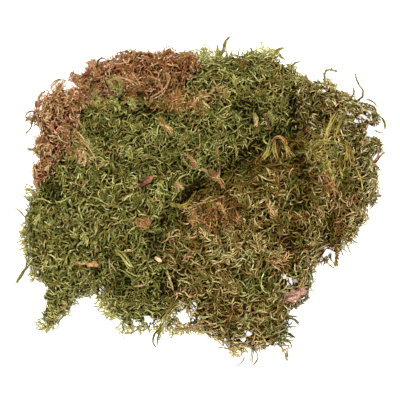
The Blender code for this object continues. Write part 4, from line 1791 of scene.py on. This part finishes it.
DARK_GREEN_STRAYS = (
    stray(
        (86, 60.4), (96, 59.6), (101, 65.6), (95.6, 72), (95, 79.2), tone=(0, 0.2), fresh=(0.3, 0.5),
        girth=(2.0, 2.2),
    ),
    stray(
        (77, 66), (74.6, 74), (76.6, 81), (85.4, 77.4), tone=(0.1, 0.3), fresh=(0.4, 0.56),
        girth=(1.8, 2.0), barbs=0.08,
    ),
    stray((90, 59.6), (93, 64), (93.6, 69), tone=(0, 0.2), fresh=(0.3, 0.5), girth=(1.8, 2.0)),
    stray((90, 59.4), (105.6, 57.6), (107.4, 52.8), (102.6, 49.2), fresh=(0.3, 0.5), girth=(1.6, 1.8)),
    stray(
        (103, 51), (109, 51), (112, 48), (112.6, 42.6), count=3, width=1.2, scatter=3, curl=0.0,
        fresh=(0.2, 0.5),
    ),
    stray((100, 61), (106, 60), (108.6, 56)),
    stray((64.2, 70), (64.8, 76.8), count=3),
    stray((101, 38), (106.8, 33.4)),
    stray((103, 20), (108, 26), (112.2, 30.6), count=3, tone=(0.8, 1)),
    stray((104, 3), (110.4, 1.8), count=3),
    stray((105, 42), (109, 40), (113, 41)),
)
DARK_GREEN_SPILLS = (
    Spill(79, 70, 5.5, 3, -35, 1.5),
    Spill(99.5, 36.5, 3, 2.5, 0, 1.4),
    Spill(108.5, 29, 2.5, 3, 0, 1.3),
    Spill(105, 53, 3, 6, 35, 1.2),
)
OLIVE_SPILLS = (
    Spill(23, -90, 6, 5, 0, 1.2),
    Spill(51, -82, 3.2, 12, 0, 1.0),
    Spill(82, -29, 5, 4, 0, 1.5),
    Spill(77, -36, 4, 2.6, 20, 1.1),
    Spill(8, -83, 10, 4, -20, 0.6),
)
OLIVE_STRAYS = (
    stray((86, -22), (92, -24), (96.6, -26.4), girth=(1.3, 1.5)),
    stray((88, -25), (90, -29), (93, -34.8), girth=(0.8, 1), tone=(0, 0.2)),
    stray((83, -26), (83.4, -33), (81, -40.6), count=3, width=1.4, scatter=4, barbs=0.14),
    stray((66, -36), (71, -38), (77, -36), (79, -31), tone=(0, 0.3), fresh=(0.4, 0.55)),
    stray((76, -36), (78, -39), (82, -42), girth=(1.2, 1.4), tone=(0, 0.3)),
    stray((66, -40), (67, -46), (69, -51), girth=(0.8, 1), tone=(0, 0.3), fresh=(0.4, 0.55)),
    stray((65, -52), (70, -49), (78, -46.4), girth=(0.5, 0.6), tone=(0, 0.3)),
    stray(
        (57, -65), (61, -62), (66, -57.6), count=3, barbs=0.2, width=1.6, girth=(0.8, 1.1), tone=(0, 0.4),
        fresh=(0.5, 0.8),
    ),
    stray((48, -68), (54, -70.6), (59.4, -69.6), count=2, scatter=4, tone=(0, 0.3), fresh=(0.2, 0.5)),
    stray((48, -72), (56, -71), (61, -76), count=2, width=1.0, tone=(0, 0.3), fresh=(0.2, 0.5)),
    stray((47, -78), (54, -80), (58, -84), count=2, width=1.2, tone=(0, 0.3), fresh=(0.2, 0.5)),
    stray((46, -83), (52, -84.6), (56, -87.4), (55, -91), tone=(0, 0.3), fresh=(0.2, 0.5)),
    stray(
        (52.6, -92), (52.8, -95), (53.4, -97.6), count=2, width=1.0, barbs=0.3, girth=(0.8, 1),
        tone=(0, 0.3), fresh=(0.5, 0.8),
    ),
    stray((48, -75), (53, -77), (59, -76.6), tone=(0, 0.3)),
    stray(
        (30, -88), (35, -93), (35.4, -97), (31.6, -101.4), count=2, width=0.5, girth=(0.8, 1), scatter=2,
        curl=0.0,
    ),
    stray((34, -88), (31, -94), (31.4, -100), count=2, width=1.2, girth=(0.7, 0.9), scatter=5),
    stray((27, -95), (25.2, -98.4), (21.2, -103.4), girth=(0.9, 1.1)),
    stray((10.2, -82.2), (16.8, -88.8), count=3, girth=(0.7, 1), scatter=20, curl=0.2),
    stray((13, -84), (18, -90), (22.6, -96), count=4, girth=(0.7, 1), scatter=22, curl=0.2),
)
TOP_BROWN_SPILLS = (
    Spill(-26, 65, 25, 9, -8, 0.42),
    Spill(-65.5, 81.5, 4.5, 4, 0, 1.6),
    Spill(-60, 66, 14, 8, 10, 0.35),
    Spill(4, 60, 8, 8, 0, 0.25),
    Spill(-68, 62.6, 6, 5, 0, 3.0),
)
TOP_BROWN_STRAYS = (
    tangle(
        (-54, 70), (-30, 66), (-4, 62), count=90, width=18, take=(0.08, 0.17), girth=(1.1, 1.5),
        tone=(0.1, 0.8),
    ),
    tangle((-30, 61), (-14, 58), (4, 54), count=36, width=11, take=(0.12, 0.24)),
    tangle((-76, 66), (-66, 62), (-54, 62), count=36, width=14, take=(0.18, 0.34)),
    stray((-61.8, 80), (-58.2, 83.4), (-56, 84)),
    stray((-24, 84), (-21, 88), (-20, 91.5), (-17.4, 91.4), (-15.6, 88.8), count=4),
    stray((-41.4, 75.6), (-38, 72), (-34.8, 68.4), count=2, fresh=(0.84, 0.88), height=0.9),
    stray((-31, 73), (-27, 72), (-22, 67), (-20, 62), count=2, fresh=(0.7, 0.85), height=0.9),
    stray((-52, 70), (-48, 73), (-42, 72), (-38, 68), count=2, fresh=(0.7, 0.85), height=0.9),
    stray((-44, 65), (-36, 66), (-28, 64.6), fresh=(0.6, 0.75)),
    stray((-14, 82), (-9, 86), (-5, 90), count=4, fresh=(0.4, 0.6)),
    stray((-6, 80), (-3, 84), (-4, 89), count=3, fresh=(0.4, 0.6)),
    stray((-19, 75), (-18, 70), (-22, 64), (-30, 61), count=2, fresh=(0.7, 0.82), height=0.9),
    stray((6, 64), (0, 62), (-4, 56), count=2, fresh=(0.6, 0.8), height=0.9, barbs=0.15),
)
LEFT_BROWN_SPILLS = (
    Spill(-73, 71, 6, 2.6, -37, 1.4),
    Spill(-87, 68, 4, 3, 0, 1.3),
    Spill(-93, 61, 7, 4.5, 30, 1.2),
    Spill(-101, 50, 5, 3, 10, 1.2),
    Spill(-74, 34, 8, 16, 30, 0.35),
)
LEFT_BROWN_STRAYS = (
    stray(
        (-98, 53), (-103.2, 53.4), (-106.4, 51), (-104.4, 48.6), girth=(1.8, 2.2), tone=(0, 0.3),
        fresh=(0.3, 0.5),
    ),
    stray(
        (-97, 51), (-101, 48.4), (-102, 44), (-108, 40.2), count=2, girth=(1.6, 2), tone=(0, 0.4),
        fresh=(0.3, 0.5),
    ),
    stray((-97.2, 48), (-94.2, 42), (-96, 34.8), (-97.8, 30), girth=(1.4, 1.6)),
    stray(
        (-88, 61), (-85, 67), (-82, 73), count=5, width=1.8, scatter=6, tone=(0.2, 0.5), fresh=(0.5, 0.75),
        loose=1.0,
    ),
    stray(
        (-82, 72.8), (-85, 73.6), (-88, 72.6), (-91, 68.6), count=2, width=0.7, scatter=2, curl=0,
        tone=(0.1, 0.3), fresh=(0.4, 0.6),
    ),
    stray(
        (-66, 66), (-72, 71), (-80, 76.6), count=8, width=4.4, barbs=0.2, girth=(0.9, 1.3), scatter=11,
        loose=1.6, fresh=(0.3, 0.7),
    ),
    stray(
        (-60, 72), (-64, 79), (-67.4, 85.4), count=5, width=2.2, barbs=0.14, girth=(0.9, 1.3), scatter=7,
        loose=1.4, fresh=(0.3, 0.65),
    ),
    stray(
        (-64, 69), (-67, 75), (-70.4, 79), count=7, width=4.4, scatter=24, curl=0.25, loose=1.6,
        tone=(0.9, 1), fresh=(0.1, 0.3),
    ),
    stray((-63, 80), (-61.4, 84.6), (-57.4, 85.6), girth=(1.9, 2.2), tone=(0, 0.1), fresh=(0.1, 0.3)),
    stray((-99, 50), (-103, 49), (-106, 48.4), girth=(1.8, 2.2), tone=(0, 0.3), fresh=(0.3, 0.5)),
    stray((-96, 45), (-94, 40), (-96, 34), (-98.6, 29), count=2, girth=(1.4, 1.6)),
    stray((-99.6, 60), (-97.8, 55), (-96, 52), count=5, tone=(0.8, 1)),
    stray((-94, 66), (-97, 62), (-98, 58), count=3),
    stray((-80, 46), (-75, 42.4), (-70, 37), (-66, 33), fresh=(0.6, 0.75)),
    tangle(
        (-80, 46), (-76, 34), (-77, 22), count=30, width=8, take=(0.12, 0.24), girth=(1.1, 1.5),
        fresh=(0.36, 0.72),
    ),
)

WADS = [
    MossWad(
        "green_carpet", "green_moss", GREEN_SHOOTS, FINE_SHOOTS, per_square_cm=70,
        tones=((0.3, 0.02, 0.3), (0.45, 0.2, 0.5), (0.18, 0.45, 0.75), (0.07, 0.75, 0.98)),
        patches=(
            Patch(-9, 61, 12, 6, 20, 0.5, (0.7, 0.9)),
            Patch(-45, 71, 10, 5, 10, 0.5, (0.75, 0.95)),
            Patch(10, 66, 4, 6, 0, 0.5, (0.8, 1.0)),
            Patch(46, 72, 9, 10, 0, 0.5, (0.6, 0.95)),
            Patch(-12, -62, 11, 15, 0, 0.55, (0.6, 0.98)),
        ),
        spills=GREEN_SPILLS, strays=GREEN_STRAYS,
        pieces=("green_carpet_left", "green_carpet_middle", "green_carpet_right"), seed=11,
    ),
    MossWad(
        "right_green_tuft", "dark_green_moss", DARK_GREEN_SHOOTS, FINE_SHOOTS, per_square_cm=72,
        tones=((0.6, 0.02, 0.35), (0.26, 0.3, 0.55), (0.08, 0.6, 0.8), (0.06, 0.8, 0.98)),
        strays=DARK_GREEN_STRAYS, spills=DARK_GREEN_SPILLS, pieces=("right_green_tuft",), fresh=0.57,
        seed=23,
    ),
    MossWad(
        "olive_sheet", "olive_moss", OLIVE_SHOOTS, CURLY_SHOOTS, per_square_cm=50,
        tones=((0.22, 0.02, 0.3), (0.4, 0.25, 0.55), (0.22, 0.5, 0.75), (0.16, 0.72, 0.98)),
        patches=(Patch(31, -46, 10, 10, 0, 0.55, (0.0, 0.3)), Patch(86, -2, 7, 9, 0, 0.5, (0.6, 0.95))),
        spills=OLIVE_SPILLS, strays=OLIVE_STRAYS, pieces=("olive_sheet_left", "olive_sheet_right"),
        tuft_spacing=11.0, fresh=0.585, seed=37,
    ),
    MossWad(
        "top_brown_tuft", "dead_brown_moss", BROWN_SHOOTS, CRISP_SHOOTS, per_square_cm=80,
        tones=((0.1, 0.02, 0.2), (0.3, 0.2, 0.5), (0.4, 0.5, 0.8), (0.2, 0.78, 0.98)),
        patches=(
            Patch(-24, 62, 32, 10, -6, 0.7, (0.1, 0.9), -0.16),
            Patch(-9, 78, 9, 8, 0, 0.8, (0.3, 1.0), -0.1),
        ),
        spills=TOP_BROWN_SPILLS, strays=TOP_BROWN_STRAYS, pieces=("top_brown_tuft",), tuft_spacing=7.0,
        skirt=1.7, seed=41,
    ),
    MossWad(
        "left_brown_tuft", "dead_brown_moss", BROWN_SHOOTS, CRISP_SHOOTS, per_square_cm=80,
        tones=((0.1, 0.02, 0.2), (0.4, 0.2, 0.5), (0.3, 0.5, 0.8), (0.2, 0.78, 0.98)),
        spills=LEFT_BROWN_SPILLS, strays=LEFT_BROWN_STRAYS, pieces=("left_brown_tuft",), tuft_spacing=7.0,
        fresh=0.68, skirt=1.7, seed=53,
    ),
]


THIN_THREADS = ShootStyle(length=(4.0, 9.0), joints=8, radius=0.25, leaves=3, leaf=(0.9, 0.28))
LONG_THREADS = ShootStyle(length=(6.0, 14.0), joints=8, radius=0.28, leaves=5, leaf=(0.9, 0.3), splay=24.0)


# The strands of each loose frond.
RUST_TANGLE = (
    Bunch(
        ((-7, -1), (4, -6), (14, -8), (26, -15)), 130, 17, 0.3, (0.1, 0.26), waver=1.6, tone=(0, 1),
        fresh=(0, 0.78), scatter=60, curl=0.4, loose=1.8,
    ),
    Bunch(
        ((2, 3), (6, -6), (8, -15)), 36, 17, 1.0, (0.2, 0.5), fresh=(0.16, 0.82), scatter=40, curl=0.3,
        loose=1.6,
    ),
    Bunch(
        ((23, 2), (14, -8), (1, -17)), 40, 15, 1.0, (0.2, 0.4), fresh=(0.16, 0.82), scatter=40, curl=0.3,
        loose=1.6,
    ),
    stray((0.6, -1), (1.3, -7), (0.8, -13), height=1.3, tone=(0.5, 0.7), fresh=(0.7, 0.8)),
    stray((13.8, 1), (12.8, -4), (14, -8), (16.5, -11), height=1.3, tone=(0.4, 0.7), fresh=(0.7, 0.8)),
    stray((18, -2), (21, -6), (24, -11), count=3, height=1.2, tone=(0.8, 1), fresh=(0.6, 0.8)),
    Bunch(((-7, -10), (-3, -12.5), (1, -16)), 14, 6, 1.0, (0.3, 0.6), fresh=(0.66, 0.86), scatter=20),
    stray((0.8, -1.6), (3.8, 0), (6.6, 1.8), count=2, height=1.5, tone=(0, 0.1), fresh=(0.75, 0.85)),
    stray((2.6, 2.2), (3.8, 0), (5.4, -2.4), height=1.5, tone=(0, 0.1), fresh=(0.75, 0.85)),
)
ORANGE_ARCH = (
    Bunch(
        ((42.6, 34), (44, 37.4), (47, 38.6), (50, 37), (51.6, 33.6)), 8, 3.0, 1.2, (0.5, 1.0),
        tone=(0.45, 0.8), fresh=(0.5, 0.88), scatter=12, loose=0.9,
    ),
    Bunch(
        ((44.6, 37), (42.4, 32), (40, 27), (37, 24)), 7, 3.6, 1.2, (0.5, 1), tone=(0, 0.3),
        fresh=(0.74, 0.88), scatter=9,
    ),
    Bunch(
        ((43.6, 36), (44.2, 30), (47, 24)), 4, 2.0, 1.2, (0.6, 1), tone=(0, 0.3), fresh=(0.74, 0.88),
        scatter=8,
    ),
    Bunch(
        ((49.6, 37), (51.6, 33), (52.6, 28), (54, 24)), 6, 4, 1, (0.4, 1), tone=(0, 0.5), fresh=(0.6, 0.88),
        scatter=14,
    ),
    Bunch(((47, 35), (46.4, 31), (47.2, 28)), 4, 3.0, 0.4, tone=(0.8, 1), fresh=(0.2, 0.6), scatter=25),
    stray((39.8, 39.4), (38.2, 37.6), (39, 35.2), (41.6, 33.2), tone=(0, 0.2), fresh=(0.8, 0.88)),
)
YELLOW_COMBS = (
    Bunch(
        ((72, 48), (80, 31), (89, 12)), 60, 24, 0.3, (0.14, 0.32), waver=1.2, tone=(0, 0.7),
        fresh=(0.2, 0.8), scatter=38, curl=0.3, loose=1.0,
    ),
    stray(
        (82.2, 52.2), (78.6, 47), (75.2, 40), (73.4, 34.8), count=3, height=0.8, tone=(0, 0.5),
        fresh=(0.74, 0.88),
    ),
    stray((78.6, 46), (74.4, 36.6), count=2, height=1.0, tone=(0, 0.4), fresh=(0.78, 0.88)),
    stray((72.6, 42.6), (73, 37.4), height=1.0, fresh=(0.75, 0.85)),
    stray((86, 50), (83, 44), (80, 38), count=2, height=0.8, tone=(0, 0.4), fresh=(0.6, 0.8)),
    Bunch(
        ((65.6, 26.1), (69.1, 32.2), (74.3, 33.5), (79.6, 34.4), (87.4, 34)), 6, 4.4, 0.9, (0.5, 1.0),
        tone=(0.1, 0.6), fresh=(0.5, 0.84), scatter=8, loose=0.8,
    ),
    Bunch(
        ((86.6, 36), (89.2, 30), (90.6, 24), (92, 18)), 9, 5, 1.0, (0.4, 1), tone=(0.3, 0.7),
        fresh=(0.4, 0.85), scatter=9,
    ),
    Bunch(((66.5, 25.2), (73.5, 27.8), (81.3, 28.8)), 6, 5.0, 0.8, (0.4, 1), tone=(0.1, 0.5), scatter=9),
    yellow_comb((72.6, 24), (73.4, 19.5), (73.2, 15.6)),
    yellow_comb((76, 25), (76.6, 20), (77.6, 16)),
    yellow_comb((79.6, 21), (79.2, 16), (78.6, 12)),
    yellow_comb((84, 21), (83.6, 17), (84.6, 13)),
    stray((73.2, 16.8), (78.6, 9.6), (82.2, 2.4), count=2, height=0.9, tone=(0.95, 1), fresh=(0.76, 0.86)),
    stray((93, 19.2), (97, 12), (98.4, 3), height=0.9, tone=(0.3, 0.6), fresh=(0.82, 0.88)),
)
TAN_SPRAY = (
    Bunch(
        ((-75.3, 31.4), (-71, 29.8), (-69.4, 26.5), (-69.8, 22.8), (-72.4, 19.4)), 9, 4.6, 0.9, (0.4, 0.9),
        girth=(0.8, 1.2), tone=(0.3, 0.8), fresh=(0.6, 0.88), barbs=0.24, barb_angle=50, scatter=14,
        curl=0.12, loose=1.2,
    ),
    stray(
        (-76.3, 41.5), (-72.4, 37.2), (-69, 33.3), (-66.6, 30), (-63.2, 26), (-61.8, 21.2),
        fresh=(0.7, 0.8),
    ),
    stray((-77.2, 37.6), (-70.4, 32.4), fresh=(0.7, 0.8)),
)
UPPER_SCRAP = (
    Bunch(
        ((-11.6, 28.6), (-7, 23.4), (-3.8, 20.4), (0, 18.6)), 12, 4.8, 1.0, (0.3, 0.8), girth=(0.7, 1),
        tone=(0.2, 0.9), fresh=(0.5, 0.88), barbs=0.16, scatter=18, curl=0.15, loose=0.9,
    ),
    stray(
        (-6.2, 21), (-5.4, 22.4), (-3.8, 21.8), (-3.6, 20), (-5, 19.4), (-6, 20.6), height=1.2,
        tone=(0.9, 1),
    ),
    stray((0.6, 19), (3, 17.4), (4.4, 15), count=2, height=0.8, tone=(0, 0.2), fresh=(0.7, 0.8)),
    Bunch(
        ((-15, 11.6), (-12.4, 9), (-10, 5)), 9, 4, 1.2, (0.4, 0.9), girth=(0.6, 0.9), tone=(0.2, 0.8),
        fresh=(0.6, 0.88), barbs=0.2, scatter=15,
    ),
)
LOWER_SCRAP = (
    Bunch(
        ((-38.8, -11.2), (-34, -13.4), (-29.6, -16.6)), 26, 7.6, 0.9, (0.3, 0.6), waver=0.2,
        girth=(0.6, 0.95), tone=(0.5, 1), fresh=(0.42, 0.76), scatter=8,
    ),
    Bunch(((-34.4, -10.4), (-33.4, -13.4), (-32, -17.6)), 9, 5, 1.2, (0.3, 0.7), tone=(0.7, 1), scatter=12),
)
FORKED_SPRIG = (
    Bunch(
        ((3, 18.6), (6.6, 16.2), (10, 13.6), (12, 12)), 7, 3.6, 1.1, (0.4, 0.9), girth=(0.6, 1),
        tone=(0.4, 0.9), fresh=(0.6, 0.88), scatter=12,
    ),
    Bunch(
        ((11.5, 22.6), (11.4, 18.4), (10.8, 14.6), (9.4, 12)), 4, 2.2, 1.1, (0.6, 1), girth=(0.6, 1),
        tone=(0.5, 0.9), fresh=(0.6, 0.88), scatter=8,
    ),
    Bunch(
        ((10, 14), (12.4, 11.6), (14, 8.4), (15.2, 5.2)), 4, 2.0, 1.1, (0.6, 1), girth=(0.6, 1),
        tone=(0.5, 0.9), fresh=(0.6, 0.88), scatter=8,
    ),
    Bunch(
        ((4, 15.6), (8, 14.2), (12, 13.4)), 22, 6.4, 1.0, (0.2, 0.6), girth=(0.5, 0.9), tone=(0.5, 1),
        fresh=(0.45, 0.86), scatter=40,
    ),
)
YELLOW_SPRIG = (
    Bunch(
        ((-1.4, 7.4), (-4.1, 2.7), (-6.8, -1.3), (-10.2, -4.1), (-15, -3.4), (-19.8, -2.7)), 4, 1.8, 0.7,
        (0.6, 1.0), tone=(0.1, 0.5), fresh=(0.7, 0.88), barbs=0.05, scatter=3,
    ),
    Bunch(
        ((-8.6, -3), (-10.6, -4), (-13, -4)), 6, 2.4, 1.0, tone=(0.2, 0.5), fresh=(0.7, 0.88), scatter=15,
    ),
)

FROND_LITTER = (
    FrondLitter("rust_tuft", "rust_moss", RUST_STRANDS, THIN_THREADS, RUST_TANGLE, 61),
    FrondLitter("orange_frond", "rust_moss", RUST_STRANDS, LONG_THREADS, ORANGE_ARCH, 67),
    FrondLitter("yellow_frond", "yellow_moss", YELLOW_STRANDS, LONG_THREADS, YELLOW_COMBS, 71),
    FrondLitter("tan_frond", "tan_leaf", TAN_STRANDS, LONG_THREADS, TAN_SPRAY, 73),
    FrondLitter("orange_scrap_upper", "orange_leaf", TAN_STRANDS, LONG_THREADS, UPPER_SCRAP, 79),
    FrondLitter("orange_scrap_lower", "orange_leaf", TAN_STRANDS, LONG_THREADS, LOWER_SCRAP, 83),
    FrondLitter("forked_sprig", "orange_leaf", TAN_STRANDS, LONG_THREADS, FORKED_SPRIG, 87),
    FrondLitter("yellow_sprig", "yellow_moss", YELLOW_STRANDS, LONG_THREADS, YELLOW_SPRIG, 89),
)

SCRAPS = (
    LeafScrap(
        "red_leaf", "red_leaf",
        DryFinish(
            "leaf_dried_purple_red", ((0.3, "#371514"), (0.5, "#5F2829"), (0.7, "#86544E")), rim="#422215",
            far="#986D34", grain=Grain.VEINS, roughness=0.5,
        ),
        (-32, 11), 10.0, 4.2, 41.0,
        ((0.0, 0.04, 0.04), (0.2, 0.28, 0.2), (0.5, 0.5, 0.42), (0.78, 0.4, 0.5), (1.0, 0.1, 0.12)),
        curl=0.9, seed=5,
    ),
    LeafScrap(
        "pale_leaf_curl", "tan_leaf",
        DryFinish(
            "leaf_dried_tan", ((0.3, "#744E28"), (0.5, "#9E7A4E"), (0.7, "#B9A47C")), rim="#7C4E22",
            far="#B88A58", grain=Grain.VEINS,
        ),
        (-67.6, -38), 14.6, 4.6, -5.0,
        (
            (0, 0.03, 0.05), (0.14, 0.26, 0.08), (0.3, 0.08, 0.24), (0.46, 0.3, 0.1), (0.6, 0.16, 0.4),
            (0.78, 0.5, 0.3), (1, 0.1, 0.3),
        ),
        curl=1.6, wrinkle=0.6, seed=7,
    ),
    LeafScrap(
        "crumpled_leaf", "pink_brown_leaf",
        DryFinish(
            "leaf_dried_pink_brown", ((0.3, "#664434"), (0.5, "#A07963"), (0.7, "#C3A68F")), rim="#7C4C34",
            far="#A8806C", grain=Grain.VEINS,
        ),
        (57, -56), 14.4, 8.6, 16.0,
        (
            (0.0, 0.1, 0.2), (0.12, 0.5, 0.42), (0.28, 0.26, 0.56), (0.42, 0.54, 0.42), (0.56, 0.24, 0.58),
            (0.7, 0.4, 0.22), (0.88, 0.34, 0.24), (1.0, 0.1, 0.06),
        ),
        curl=1.4, wrinkle=0.9, seed=9,
    ),
    LeafScrap(
        "pale_chip", "pale_wood",
        DryFinish(
            "wood_chip_bare", ((0.3, "#B19463"), (0.5, "#D4BA8D"), (0.7, "#E2CBA2")), rim="#AA7C4A",
            far="#D6B37F", grain=Grain.FIBRES,
        ),
        (-25, -35.6), 4.8, 3.0, -28.0,
        ((0.0, 0.26, 0.2), (0.3, 0.5, 0.4), (0.7, 0.36, 0.5), (1.0, 0.16, 0.24)), curl=0.4, wrinkle=0.1,
        height=1.2, seed=11,
    ),
)

STRAW = DryFinish(
    "grass_straw_dried", ((0.3, "#7C6638"), (0.5, "#A28B5A"), (0.7, "#C0AC7E")), "#6C5430", "#A08654",
    Grain.FIBRES, 0.45,
)
STEMS = (
    Stem(
        "bent_stem", "ochre_stem",
        DryFinish(
            "stem_dried_ochre", ((0.3, "#56431A"), (0.5, "#7B672B"), (0.7, "#9A8A48")), "#493916",
            "#706C31", Grain.FIBRES, 0.5,
        ),
        (
            (
                (-50, -30.8), (-43.6, -31), (-38.4, -29.6), (-36, -26), (-35.8, -22), (-35.2, -20.4),
                (-33.8, -21.6),
            ),
        ),
        (0.5, 0.38), seed=13,
    ),
    Stem(
        "pale_twig", "pale_wood",
        DryFinish(
            "twig_dried_pale", ((0.3, "#725A38"), (0.5, "#A38B5C"), (0.7, "#C7B48A")), "#634D30", "#9F8150",
            Grain.FIBRES,
        ),
        (((-19.8, -42.4), (-18.2, -47), (-16.8, -51), (-16, -54.4)),), (0.7, 0.55), rough=0.25, knots=3,
        seed=17,
    ),
    Stem(
        "pale_straw", "straw", STRAW, (((-3.8, -3.2), (0.6, -1.8), (6, -1), (11.3, 1.4), (15, 2.2)),),
        (0.4, 0.26), height=1.8, seed=19,
    ),
    Stem(
        "short_straw", "straw", STRAW,
        (((-54.3, -35.2), (-54.2, -40), (-53.2, -44.2)), ((-53.6, -37.8), (-51.6, -40.6), (-50, -43))),
        (0.46, 0.3), height=1.3, seed=23,
    ),
    Stem(
        "red_twig", "red_leaf",
        DryFinish(
            "twig_dried_red_brown", ((0.3, "#2E1A12"), (0.5, "#5A382A"), (0.7, "#8A6048")), "#2A1812",
            "#7A4630", Grain.FIBRES,
        ),
        (((38.6, 50.6), (40.4, 46.4), (42.8, 41.8)),), (0.62, 0.55), rough=0.28, seed=29,
    ),
)


def write_sizes() -> None:
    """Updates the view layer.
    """
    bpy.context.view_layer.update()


def main() -> None:
    """Builds the clump's pieces in order, then the studio."""
    logging.basicConfig(level=logging.INFO, format="%(message)s")
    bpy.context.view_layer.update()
    relief = Relief(frame["nodes"], WADS)
    LOG.info("relief: %d by %d points", *relief.height.shape)
    relief.litter = [scrap.footprint(relief) for scrap in SCRAPS]
    PeatFelt().build(relief)
    for index, wad in enumerate(WADS):
        wad.grow(relief, index)
    for piece in (*FROND_LITTER, *SCRAPS, *STEMS):
        piece.build(relief)
    Studio().build()
    write_sizes()


if __name__ == "__main__":
    main()
